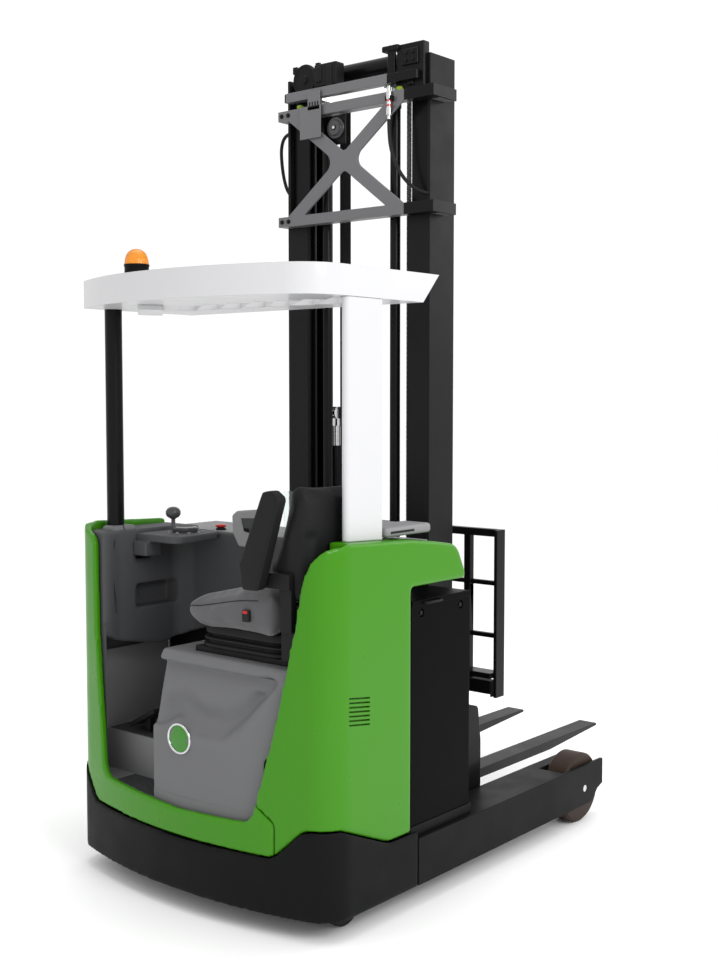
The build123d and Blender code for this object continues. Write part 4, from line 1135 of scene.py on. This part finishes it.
@dataclass
class Cab:
    """Everything the driver touches, and the linings around it, in millimetres.

    Attributes:
        bench: Makes the pieces.
        rib_pitch: From one rib of the mats to the next.
        rib: Width of a rib.
        pedal_pitch: From one rib of the pedals to the next.
        pedal_tilt: The pedals' slope in degrees.
        seam: Radius of the left moulding's seams.
        badge_y: Middle of the badge across the cab.
        badge_z: Height of the badge's middle.
        disc_spot: Foot of the steering disc.
        knob_spot: Foot of its ball knob.
        keys: Number of keys round the disc.
        key_circle: Radius they stand on.
        stop_spot: Foot of the stop button.
        ring: Width, length and corner radius of the seat's bellows.
        ring_spot: X and Y of its middle.
        folds: Height of each of its folds and how far it stands out.
        pin_spot: Middle of the armrest's pin.
        welt: Radius of the seat's welts.
    """

    bench: Bench
    rib_pitch: float = 13.0
    rib: float = 6.0
    pedal_pitch: float = 14.0
    pedal_tilt: float = -28.0
    seam: float = 1.4
    badge_y: float = 1.0
    badge_z: float = 589.0
    disc_spot: Spot = (-1303, 356, 1248)
    knob_spot: Spot = (-1332, 390, 1248)
    keys: int = 9
    key_circle: float = 64.0
    stop_spot: Spot = (-1145, 325, 1245)
    ring: Spot = (372, 452, 80)
    ring_spot: tuple[float, float] = (-1400, -205)
    folds: Table = ((898, 0), (903, 6), (912, 6), (917, -6), (922, -6), (927, 4), (934, 4), (939, -12),
                    (944, -12), (949, 0), (960, 0), (975, -6))
    pin_spot: Spot = (-1613, -325, 1170)
    welt: float = 1.8

    def linings(self) -> None:
        """Dark liner round the left corner and the strip that seats the console on the sill."""
        piece = self.bench.piece
        corner = inner_line(33.0, 448.0, CAB_FRONT - 4)
        piece("liner_corner", curtain(corner, 352, 925, 1.5), "cab_grey", "chassis")
        foot = inner_line(32.5, -455.0, 141.0)
        piece("console_foot", curtain(foot, 340, 388, 2.5), "console_grey", "chassis")

    def mats(self) -> None:
        """Ribbed mats on the step and the floor, and the pedals' ribs."""
        bars = []
        for across in np.arange(164, 420, self.rib_pitch):
            bars.append(block((-1655 + across ** 2 / 4000, across, 349.5), (-1509, across + self.rib, 353)))
        for across in np.arange(164, 580, self.rib_pitch):
            bars.append(block((-1500, across, 499.5), (-1186, across + self.rib, 503)))
        self.bench.piece("mat_ribs", merged(bars), "cab_grey", "chassis", bevel=1.2)
        ribs = []
        tilt = math.radians(self.pedal_tilt)
        turn = np.array([[1, 0, 0], [0, math.cos(tilt), -math.sin(tilt)],
                         [0, math.sin(tilt), math.cos(tilt)]])
        for spot, width, length in (((-1440, 400, 562), 100, 150), ((-1290, 420, 572), 90, 130)):
            for along in np.arange(-length / 2 + 12, length / 2 - 10, self.pedal_pitch):
                points, faces = block((-width / 2 + 6, along, 6.5), (width / 2 - 6, along + self.rib, 9.5))
                ribs.append((points @ turn.T + np.array(spot), faces))
        self.bench.piece("pedal_ribs", merged(ribs), "rubber_black", "chassis", bevel=0.9)

    def trim(self) -> None:
        """Thin seams of the left moulding and the cap round the left post's foot."""
        lines = [[(-1500, 481, 1283), (-1475, 481, 1216), (-1450, 480, 1149), (-1430, 477, 1002)],
                 [(-1560, 456, 1232), (-1560, 466, 1185), (-1560, 469, 1138), (-1560, 462, 1050),
                  (-1560, 450, 961)]]
        seams = [tube(np.array(line, float), circle(self.seam, 8)) for line in lines]
        self.bench.piece("trim_seams", merged(seams), "rubber_black", "chassis")
        low, high = self.bench.box("post_left")
        centre = (low + high) / 2
        cap = [block((centre[0] - 52, centre[1] - 58, 1240), (centre[0] + 58, centre[1] + 26, 1278))]
        self.bench.piece("post_cap", merged(cap), "console_grey", "chassis", bevel=16.0)

    def badge(self) -> None:
        """Bare chromed ring with a plain green face on the console.

        The ring is a circle of 4.5 mm carried round an ellipse; the face is a stack of ellipses
        that shrink as they rise.
        """
        sides, steps = 64, 10
        turn = np.linspace(0, 2 * math.pi, sides + 1)[:-1]
        rows = []
        for k in range(steps):
            out = 4.5 * math.cos(2 * math.pi * k / steps)
            up = 4.5 * math.sin(2 * math.pi * k / steps)
            rows.append(np.stack([0 * turn - 1667.5 + up, (53 + out) * np.cos(turn) + self.badge_y,
                                  (50 + out) * np.sin(turn) + self.badge_z], 1))
        faces = [tuple(i % (sides * steps) for i in face) for face in bands(steps + 1, sides)]
        self.bench.piece("badge_ring", (np.concatenate(rows), faces), "bright_steel", "chassis")
        rims = [np.stack([0 * turn - 1665.0 - rise, grow * 51 * np.cos(turn) + self.badge_y,
                          grow * 48 * np.sin(turn) + self.badge_z], 1)
                for grow, rise in ((1.0, 0.0), (1.0, 1.5), (0.8, 3.0), (0.45, 4.0), (0.05, 4.4))]
        self.bench.piece("badge_face", (np.concatenate(rims), capped(len(rims), sides)), "badge_green",
                         "chassis")

    def controls(self) -> None:
        """Steering disc, ball knob, keys, screen and stop button."""
        piece = self.bench.piece
        disc = turned([(0, 0), (46, 0), (48, 3), (48, 15), (44, 19), (36, 19.5), (33, 17), (0, 16.5)],
                      self.disc_spot)
        stem = turned([(11, 12), (11, 20), (8, 26), (7.5, 48), (12, 52), (22, 57), (28.5, 68), (28.5, 79),
                       (22, 89), (12, 94.5), (0, 96)], self.knob_spot)
        knob = piece("steering_disc", merged([disc, stem]), "knob_grey", "chassis")
        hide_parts("steering_knob")
        keys = []
        x, y, z = self.disc_spot
        for number in range(self.keys):
            turn = 2 * math.pi * number / self.keys
            spot = (x + self.key_circle * math.cos(turn), y + self.key_circle * math.sin(turn), z)
            keys.append(turned([(7, 0), (7, 2.6), (5.4, 3.6), (0, 3.8)], spot, Axis.Z, 14))
        piece("console_keys", merged(keys), "light_grey", "chassis")
        screen = prism([(111, 1311), (34, 1315), (60, 1258), (96, 1263)], -1252.0, -1248.5)
        piece("pod_screen", screen, "screen_dark", "chassis", bevel=1.2)
        piece("stop_collar", turned([(20, 0), (20, 6), (15, 8), (12, 11), (0, 11)], self.stop_spot),
              "rubber_black", "chassis")
        piece("stop_button", turned([(12, 10), (20, 12), (22, 16), (20, 20), (12, 22.5), (0, 23)],
                                    self.stop_spot), "signal_red", "chassis")

    def seat_frame(self) -> None:
        """Rails, ribbed suspension ring, pan, back frame and the armrest's arm."""
        rails = [block((x, -430, 878), (x + 30, 20, 898)) for x in (-1570, -1260)]
        width, length, corner = self.ring
        rings = []
        for height, grow in self.folds:
            ring = oblong(width + 2 * grow - 24, length + 2 * grow - 24, corner, 6)
            rings.append(np.stack([ring[:, 0] + self.ring_spot[0], ring[:, 1] + self.ring_spot[1],
                                   0 * ring[:, 0] + height], 1))
        bellows = (np.concatenate(rings), capped(len(rings), len(rings[0])))
        frame = [block((-1586, -478, 899), (-1214, -402, 1089)),
                 block((-1611, -470, 1000), (-1584, -420, 1192)),
                 block((-1622, -470, 1140), (-1609, -300, 1192))]
        base = self.bench.piece("seat_frame", merged(rails + [bellows] + frame), "seat_black", "chassis",
                                bevel=4.0)
        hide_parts("seat_base")
        self.bench.piece("arm_pin", turned([(30, -9), (30, 0), (12, 0), (12, -38), (0, -38)][::-1],
                                           self.pin_spot, Axis.X), "bright_steel", "chassis")
        self.bench.piece("belt_buckle", block((-1626, -292, 1018), (-1612, -262, 1058)), "rubber_black",
                         "chassis", bevel=3.0)
        self.bench.piece("belt_button", block((-1629, -288, 1046), (-1624, -268, 1056)), "signal_red",
                         "chassis", bevel=1.5)

    @staticmethod
    def unmoved(points: np.ndarray) -> np.ndarray:
        """Leaves the cushion's points where they are."""
        return points

    @staticmethod
    def lean(points: np.ndarray) -> np.ndarray:
        """Leans the back's top rearward and swells its lower part forward, most at the two sides.

        Args:
            points: The back's points in metres.

        Returns:
            The moved points.
        """
        share = np.clip((points[:, 2] - 1.10) / 0.38, 0, 1)
        front = np.clip((points[:, 1] + 0.51) / 0.12, 0, 1)
        moved = points.copy()
        moved[:, 1] -= 0.026 * share * front
        low = np.clip((1.42 - points[:, 2]) / 0.25, 0, 1) * np.clip((points[:, 2] - 1.09) / 0.03, 0, 1)
        side = np.clip((np.abs(points[:, 0] + 0.925) - 0.10) / 0.06, 0.35, 1)
        moved[:, 1] += 0.048 * low * front * side
        return moved

    def seat(self) -> None:
        """Cushion and back swollen by cloth pressure, with their welts."""
        cloth = Cloth(self.bench)
        cushion = cloth.pad("seat_cushion", self.unmoved)
        back = cloth.pad("seat_back", self.lean)
        self.bench.paint.dress(back, "seat_black")
        line = np.array([(-1612, -317, 1094), (-1612, -163, 1078), (-1612, 30, 1040), (-1580, 48, 1034),
                         (-1400, 50, 1032), (-1220, 48, 1032)], float)
        cloth.seam("cushion_welt", cushion, line, self.welt, "seat_black")
        for number, across in enumerate((-1530, -1270)):
            line = np.array([(across, -385, 1110), (across, -392, 1250), (across, -430, 1400)], float)
            cloth.seam(f"back_welt_{number}", back, line, self.welt, "seat_fabric")
        line = np.array([(-1590, -440, 1405), (-1400, -432, 1405), (-1210, -440, 1405)], float)
        cloth.seam("back_welt_top", back, line, self.welt, "seat_fabric")

    def build(self) -> None:
        """Makes all of the cab's inside."""
        self.linings()
        self.mats()
        self.trim()
        self.badge()
        self.controls()
        self.seat_frame()
        self.seat()


@dataclass
class Outside:
    """Roof beacon, battery fittings and the deck's moulding, in millimetres.

    Attributes:
        bench: Makes the pieces.
        beacon_x: The beacon's axis along the truck.
        beacon_y: The beacon's axis across the truck.
        beacon_foot: Height of its foot.
        lens_foot: Height of its dome's foot.
        ribs: Ribs round the dome.
        ripple: Depth of a rib as a share of the radius.
        handle: Radius of the battery's handle.
        bolt_spots: X of each bolt on the battery's sides.
    """

    bench: Bench
    beacon_x: float = -1518.0
    beacon_y: float = 367.0
    beacon_foot: float = 2182.0
    lens_foot: float = 2236.0
    ribs: int = 36
    ripple: float = 0.022
    handle: float = 4.5
    bolt_spots: tuple[float, float] = (-1103, -870)

    def beacon(self) -> None:
        """Amber dome with fine upright ribs, drawn as a turned form whose radius ripples."""
        base = turned([(47, 0), (47, 6), (44, 9), (44, 44), (46, 47), (46, 53), (40, 54)],
                      (self.beacon_x, self.beacon_y, self.beacon_foot))
        foot = self.bench.piece("beacon_foot", base, "bumper_black", "chassis")
        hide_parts("beacon_base")
        profile = np.array([(44, 0), (43.5, 8), (42, 18), (39, 28), (35, 37), (30, 44), (24, 49),
                            (17, 53), (10, 55), (4, 55.8), (0.4, 56)], float)
        sides = 4 * self.ribs
        turn = np.linspace(0, 2 * math.pi, sides, endpoint=False)
        ripple = 1 - self.ripple * (0.5 + 0.5 * np.cos(self.ribs * turn))
        points = np.stack([profile[:, :1] * ripple * np.cos(turn) + self.beacon_x,
                           profile[:, :1] * ripple * np.sin(turn) + self.beacon_y,
                           profile[:, 1:] + 0 * turn + self.lens_foot], 2).reshape(-1, 3)
        dome = self.bench.piece("beacon_lens", (points, capped(len(profile), sides)), "amber_lens",
                                "chassis")
        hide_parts("beacon_dome")

    def battery(self) -> None:
        """Cover lip, lifting handle and side bolts."""
        sides = [block((-1162, y, 1042), (-811, y + 8, 1063)) for y in (-616, 608)]
        self.bench.piece("battery_lip", merged(sides), "battery_black", "chassis", bevel=2.0)
        path = np.array([(-1096, -608, 1052), (-1096, -620, 1052), (-1094, -627, 1052), (-1086, -629, 1052),
                         (-1050, -629, 1052), (-1014, -629, 1052), (-1006, -627, 1052), (-1004, -620, 1052),
                         (-1004, -608, 1052)], float)
        self.bench.piece("battery_handle", tube(path, circle(self.handle, 10)), "mast_grey", "chassis")
        heads = []
        for sign in (-1, 1):
            places = np.array([(x, sign * 603.5, 1017) for x in self.bolt_spots], float)
            heads.append(copies(*bolt(9, 8, Axis.Y, sign), places))
        self.bench.piece("battery_bolts", merged(heads), "mast_grey", "chassis", smooth=30)

    def deck(self) -> None:
        """Grey moulding on the deck beside the pillar; the slot in its side is a thin black block, painted
        shade in place of a cut.
        """
        shelf = [block((-1272, -592, 1288), (-1020, -470, 1322)),
                 block((-1180, -470, 1288), (-1020, -300, 1316))]
        self.bench.piece("deck_moulding", merged(shelf), "light_grey", "chassis", bevel=12.0)
        # The slot is a black block standing 2 mm proud of the side: painted shade where a recess would be.
        self.bench.piece("deck_slot_painted_shade", block((-1250, -594, 1300), (-1120, -588, 1308)), "rubber_black",
                         "chassis", bevel=2.0)

    def build(self) -> None:
        """Makes the outside fittings."""
        self.beacon()
        self.battery()
        self.deck()


@dataclass
class Mast:
    """Chains, hoses, guides and fasteners of the three stages, in millimetres.

    Attributes:
        bench: Makes the pieces.
        chain_pitch: From one plate of a row to the next.
        chain_x: Middle of the chains along the truck.
        chain_y: Middle of each chain to its side.
        chain_foot: Height of the chains' foot.
        chain_top: Height of their top.
        chain_rows: Middle of each row of plates across the chain.
        sheave_x: Axis of the sheaves along the truck.
        sheave_z: Height of their axis.
        pulley_y: Axis of the hose pulley across the truck.
        pulley_z: Height of its axis.
        slots: Slots in the plate beside it.
        slot_pitch: From one slot to the next.
        tie_feet: Height of each tie's lower edge.
        coupling_spot: Middle of the coupling.
        buffer_spots: Y of each lime buffer.
        hose_radius: Radius of the hoses, in metres.
        left_route: Control points of the left hose.
        right_route: Control points of the right hose.
    """

    bench: Bench
    chain_pitch: float = 19.05
    chain_x: float = -652.0
    chain_y: float = 209.0
    chain_foot: float = 632.0
    chain_top: float = 2940.0
    chain_rows: Row = (-5.2, -1.8, 1.8, 5.2)
    sheave_x: float = -692.0
    sheave_z: float = 2951.0
    pulley_y: float = 82.0
    pulley_z: float = 2806.0
    slots: int = 4
    slot_pitch: float = 14.0
    tie_feet: Row = (2440, 2860)
    coupling_spot: Spot = (-783, -213, 2855)
    buffer_spots: Row = (266, -235)
    hose_radius: float = 0.007
    left_route: Table = (
        (-640, 352, 2840), (-640, 400, 2845), (-640, 450, 2835), (-640, 470, 2790), (-640, 466, 2720),
        (-640, 452, 2650), (-640, 430, 2600), (-640, 395, 2575), (-640, 352, 2572))
    right_route: Table = (
        (-783, -213, 2796), (-783, -214, 2740), (-781, -222, 2680), (-772, -240, 2620), (-756, -268, 2568),
        (-738, -302, 2534), (-724, -332, 2518), (-716, -352, 2514))

    @staticmethod
    def link(across: float, thick: float, pitch: float) -> Form:
        """One waisted chain plate lying in the XZ plane.

        Args:
            across: Y of its middle.
            thick: Its thickness.
            pitch: Distance between its two pins.

        Returns:
            Points and faces.
        """
        half, wide = pitch / 2, 7.6
        edge = np.array([(wide * 0.62, 0), (wide, half), (wide * 0.7, half + 6), (0, half + 8.2),
                         (-wide * 0.7, half + 6), (-wide, half), (-wide * 0.62, 0), (-wide, -half),
                         (-wide * 0.7, -half - 6), (0, -half - 8.2), (wide * 0.7, -half - 6), (wide, -half)])
        rings = [np.stack([edge[:, 0], 0 * edge[:, 0] + y, edge[:, 1]], 1)
                 for y in (across - thick / 2, across + thick / 2)]
        return np.concatenate(rings), capped(2, len(edge))

    def chains(self) -> None:
        """Leaf chains as rows of plates and pins, with the sheaves they hang from."""
        pitch = self.chain_pitch
        forms = []
        for side in (-1, 1):
            middle = side * self.chain_y
            heights = np.arange(self.chain_foot, self.chain_top, pitch)
            for number, across in enumerate(self.chain_rows):
                offset = (number % 2) * pitch / 2
                places = np.array([(self.chain_x, middle, z + offset) for z in heights[:-1]], float)
                forms.append(copies(*self.link(across, 2.6, pitch / 2), places))
            pins = np.array([(self.chain_x, middle, z + pitch / 4)
                             for z in np.arange(self.chain_foot, self.chain_top, pitch / 2)], float)
            forms.append(copies(*turned([(2.6, -6.9), (2.6, 6.9)], (0, 0, 0), Axis.Y, 8), pins))
            sheave = (self.sheave_x, middle, self.sheave_z)
            forms.append(turned([(40, -10), (40, -7), (33, -6), (33, 6), (40, 7), (40, 10)], sheave, Axis.Y))
            low, high = sorted((side * 10, side * 49))
            forms.append(turned([(10, low), (10, high)], sheave, Axis.Y, 20))
        chain = self.bench.piece("leaf_chains", merged(forms), "chain_steel", "middle_mast", smooth=30)
        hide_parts("lift_chains")

    def guide(self) -> None:
        """Ridged hose guide beside the free-lift barrel, held by a bracket above and two pads."""
        forms = [block((-604, 124, 1000), (-601, 177, 2925))]
        for across in np.arange(127, 176, 8.0):
            forms.append(block((-605, across, 1002), (-603, across + 4, 2923)))
        forms.append(block((-604, 172, 2896), (-601, 296, 2924)))
        forms += [block((-612, 150, height), (-603, 174, height + 30)) for height in (1010, 1400)]
        self.bench.piece("hose_guide", merged(forms), "rubber_black", "inner_mast", bevel=0.6)

    def fasteners(self) -> None:
        """Bolts on the left ends of the cross ties, and bracket stubs on the left upright."""
        places = np.array([(-770, y, z) for z in (2460, 2880) for y in (310, 345)], float)
        self.bench.piece("tie_bolts", copies(*bolt(7, 7, Axis.X, -1), places), "mast_grey", "outer_mast",
                         smooth=30)
        stubs = [block((-664, 357, z - 12), (-618, 400, z + 10)) for z in (1514, 1994)]
        self.bench.piece("upright_stubs", merged(stubs), "mast_black", "outer_mast", bevel=2.0)

    def pulley(self) -> None:
        """Slotted plate on the upper tie and the hose pulley beside it; the slots are black blocks on the
        plate's face, painted shade in place of openings.
        """
        piece = self.bench.piece
        plate = [block((-782, 132, 2880), (-777, 196, 2955)), block((-782, 128, 2772), (-777, 237, 2898))]
        piece("slotted_plate", merged(plate), "tie_silver", "outer_mast", bevel=1.8)
        # The slots are not cut: black blocks 1.2 mm proud of the plate paint the shade seen through them.
        starts = [139 + self.slot_pitch * number for number in range(self.slots)]
        slots = [block((-783.2, start, 2890), (-781, start + 6, 2912)) for start in starts]
        piece("plate_slot_shade", merged(slots), "rubber_black", "outer_mast", bevel=0.4)
        piece("pulley_plate", block((-740, 38, 2742), (-732, 151, 2856)), "mast_black", "outer_mast",
              bevel=3.0)
        wheel = turned([(10, 0), (10, 14), (28, 14), (31, 11), (39, 13), (41, 15), (41, 7), (31, 8), (28, 4),
                        (28, 0)], (-755, self.pulley_y, self.pulley_z), Axis.X)
        piece("hose_pulley", wheel, "knob_grey", "outer_mast")
        place = np.array([(-753, self.pulley_y, self.pulley_z)], float)
        piece("pulley_bolt", copies(*bolt(7, 7, Axis.X, -1), place), "bright_steel", "outer_mast", smooth=30)

    def castings(self) -> None:
        """Roller disc, tube clamp, face of the cross bar and right casting on the middle stage's head."""
        piece = self.bench.piece
        disc = turned([(16, -2), (16, 4), (24, 6), (50, 6), (58, 1), (60, 4), (60, 15), (54, 20), (0, 20)],
                      (-752, 241, 3014), Axis.X)
        ears = [block((-740, 172, 3042), (-726, 192, 3073)), block((-740, 291, 3046), (-726, 312, 3074)),
                block((-738, 180, 3030), (-726, 300, 3050)), block((-738, 222, 2935), (-726, 260, 2990))]
        piece("roller_disc", merged([disc] + ears), "mast_black", "middle_mast", bevel=2.5)
        clamp = [block((-752, 74, 2974), (-700, 188, 3062)), block((-758, 96, 2960), (-748, 120, 3050)),
                 block((-758, 150, 2990), (-748, 176, 3052))]
        piece("tube_clamp", merged(clamp), "mast_grey", "middle_mast", bevel=6.0)
        piece("middle_bar_face", block((-771.5, -192, 2930), (-738.5, 322, 2966.5)), "tie_silver",
              "middle_mast", bevel=1.2)
        casting = [block((-744, -345, 2907), (-706, -218, 3072)),
                   block((-752, -322, 2990), (-742, -246, 3050)),
                   block((-752, -300, 2915), (-742, -270, 2975)),
                   block((-756, -232, 3052), (-722, -155, 3074)),
                   block((-750, -212, 2936), (-734, -178, 3060))]
        piece("right_casting", merged(casting), "mast_black", "middle_mast", bevel=5.0)
        knobs = np.array([(-752, y, z) for y in (-300, -268) for z in (3006, 3034)], float)
        piece("casting_bolts", copies(*bolt(6, 6, Axis.X, -1), knobs), "mast_grey", "middle_mast", smooth=30)

    def couplings(self) -> None:
        """Black caps on the ties' right ends, the coupling with its red rings, and the buffers."""
        piece = self.bench.piece
        low, high = self.bench.box("mast_ties")
        caps = []
        for z in self.tie_feet:
            caps.append(block((low[0] - 1.5, low[1] - 1.5, z - 1.5), (-719, -274, z + 41.5)))
            caps.append(block((-722, low[1] - 1.5, z - 1.5), (high[0] + 1.5, low[1] + 6, z + 41.5)))
        piece("tie_caps", merged(caps), "mast_black", "outer_mast", bevel=1.5)
        coupling = turned([(7, -62), (7, -48), (11, -46), (11, -20), (9, -18), (9, 12), (11, 14), (11, 40),
                           (7, 42), (7, 60)], self.coupling_spot, Axis.Z, 28)
        piece("coupling", coupling, "bright_steel", "outer_mast")
        rings = [turned([(9.4, z), (10.2, z + 1), (10.2, z + 5), (9.4, z + 6)], self.coupling_spot,
                        Axis.Z, 28) for z in (-14, 4)]
        piece("coupling_rings", merged(rings), "signal_red", "outer_mast")
        piece("coupling_clamp", block((-790, -228, 2862), (-768, -198, 2880)), "mast_grey", "outer_mast",
              bevel=2.0)
        buffers = [turned([(13, 0), (14, 3), (14, 15), (11, 18), (0, 18)], (-745, y, 2899))
                   for y in self.buffer_spots]
        piece("buffers", merged(buffers), "buffer_lime", "outer_mast")

    def hose(self, name: str, route: Sequence[Sequence[float]]) -> None:
        """A pressure hose that leaves and enters the mast.

        Args:
            name: The hose's name.
            route: Its control points in millimetres.
        """
        curve = bpy.data.curves.new(name, "CURVE")
        curve.dimensions = "3D"
        spline = curve.splines.new("NURBS")
        spline.points.add(len(route) - 1)
        for point, spot in zip(spline.points, metres(np.array(route, float))):
            point.co = (*spot, 1.0)
        spline.order_u = 3
        spline.use_endpoint_u = True
        spline.resolution_u = 12
        hose = placed(name, curve)
        line = bpy.data.meshes.new_from_object(hose)
        curve.bevel_depth = self.hose_radius
        curve.bevel_resolution = 5
        curve.use_fill_caps = True
        self.bench.own(hose, "rubber_black", "outer_mast")

    def build(self) -> None:
        """Makes the mast's fittings."""
        self.chains()
        self.guide()
        self.fasteners()
        self.pulley()
        self.castings()
        self.couplings()
        self.hose("left_hose", self.left_route)
        self.hose("right_hose", self.right_route)


@dataclass
class Studio:
    """Camera at the photograph's place, pale floor and soft light."""

    eye: Spot = (-4.153, -3.243, 1.765)
    heading: float = 39.546
    pitch: float = 3.775
    lens: float = 48.31
    sky: float = 1.06
    floor_half: float = 60.0

    def camera(self) -> None:
        """Places the camera; its frame is 718 by 960, 36 mm on the tall side."""
        data = bpy.data.cameras.new("camera")
        data.sensor_fit = "VERTICAL"
        data.sensor_height = 36.0
        data.lens = self.lens
        data.clip_end = 100.0
        holder = placed("camera", data)
        holder.location = self.eye
        holder.rotation_euler = (math.radians(90 - self.pitch), 0, math.radians(self.heading - 90))
        bpy.context.scene.camera = holder

    def floor(self) -> None:
        """A wide pale floor that runs to the horizon."""
        mesh = bpy.data.meshes.new("floor")
        half = self.floor_half
        corners = [(-half, -half, 0), (half, -half, 0), (half, half, 0), (-half, half, 0)]
        mesh.from_pydata(corners, [], [(0, 1, 2, 3)])
        floor = placed("floor", mesh)
        sheet = Sheet("floor_paint")
        sheet.shader.inputs["Base Color"].default_value = (0.97, 0.97, 0.97, 1)
        ranged = sheet.ramp(sheet.noise(4.0), "Fac", 0.6, 0.7)
        sheet.join(ranged, "Result", sheet.shader, "Roughness")
        mesh.materials.append(sheet.material)

    def lamp(self, name: str, spot: Sequence[float], aim: Sequence[float], size: float,
             power: float) -> None:
        """One square soft light.

        Args:
            name: The light's name.
            spot: Where it hangs, in metres.
            aim: The point it faces.
            size: Its side in metres.
            power: Its power in watts.
        """
        data = bpy.data.lights.new(name, "AREA")
        data.size = size
        data.energy = power
        lamp = placed(name, data)
        lamp.location = spot
        way = np.array(aim, float) - np.array(spot, float)
        flat = math.hypot(way[0], way[1])
        lamp.rotation_euler = (math.atan2(flat, -way[2]), 0, math.atan2(way[1], way[0]) - math.pi / 2)

    def light(self) -> None:
        """White surroundings and three soft boxes."""
        world = bpy.data.worlds.new("studio")
        bpy.context.scene.world = world
        world.use_nodes = True
        background = world.node_tree.nodes["Background"]
        background.inputs["Color"].default_value = (1, 1, 1, 1)
        background.inputs["Strength"].default_value = self.sky
        self.lamp("key", (-1.8, -5.0, 3.6), (-0.4, 0, 0.9), 2.2, 130.0)
        self.lamp("top", (-0.5, 0.0, 6.0), (-0.5, 0, 0), 3.0, 80.0)
        self.lamp("rim", (4.0, -3.0, 3.5), (0, 0, 1.2), 2.0, 30.0)

    def build(self) -> None:
        """Makes the camera, the floor and the light."""
        bpy.context.scene.view_settings.view_transform = "Standard"
        self.camera()
        self.floor()
        self.light()


def main() -> None:
    """Builds every group around the frame."""
    logging.basicConfig(level=logging.INFO, format="%(message)s")
    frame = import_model()
    Studio().build()
    paint = Paintshop()
    paint.dress_nodes(frame)
    bench = Bench(frame, paint)
    for node, width, segments in SOFTENED:
        bench.softened(node, width, segments)
    for group in (Mouldings(bench), Cab(bench), Outside(bench), Mast(bench)):
        group.build()


if __name__ == "__main__":
    main()
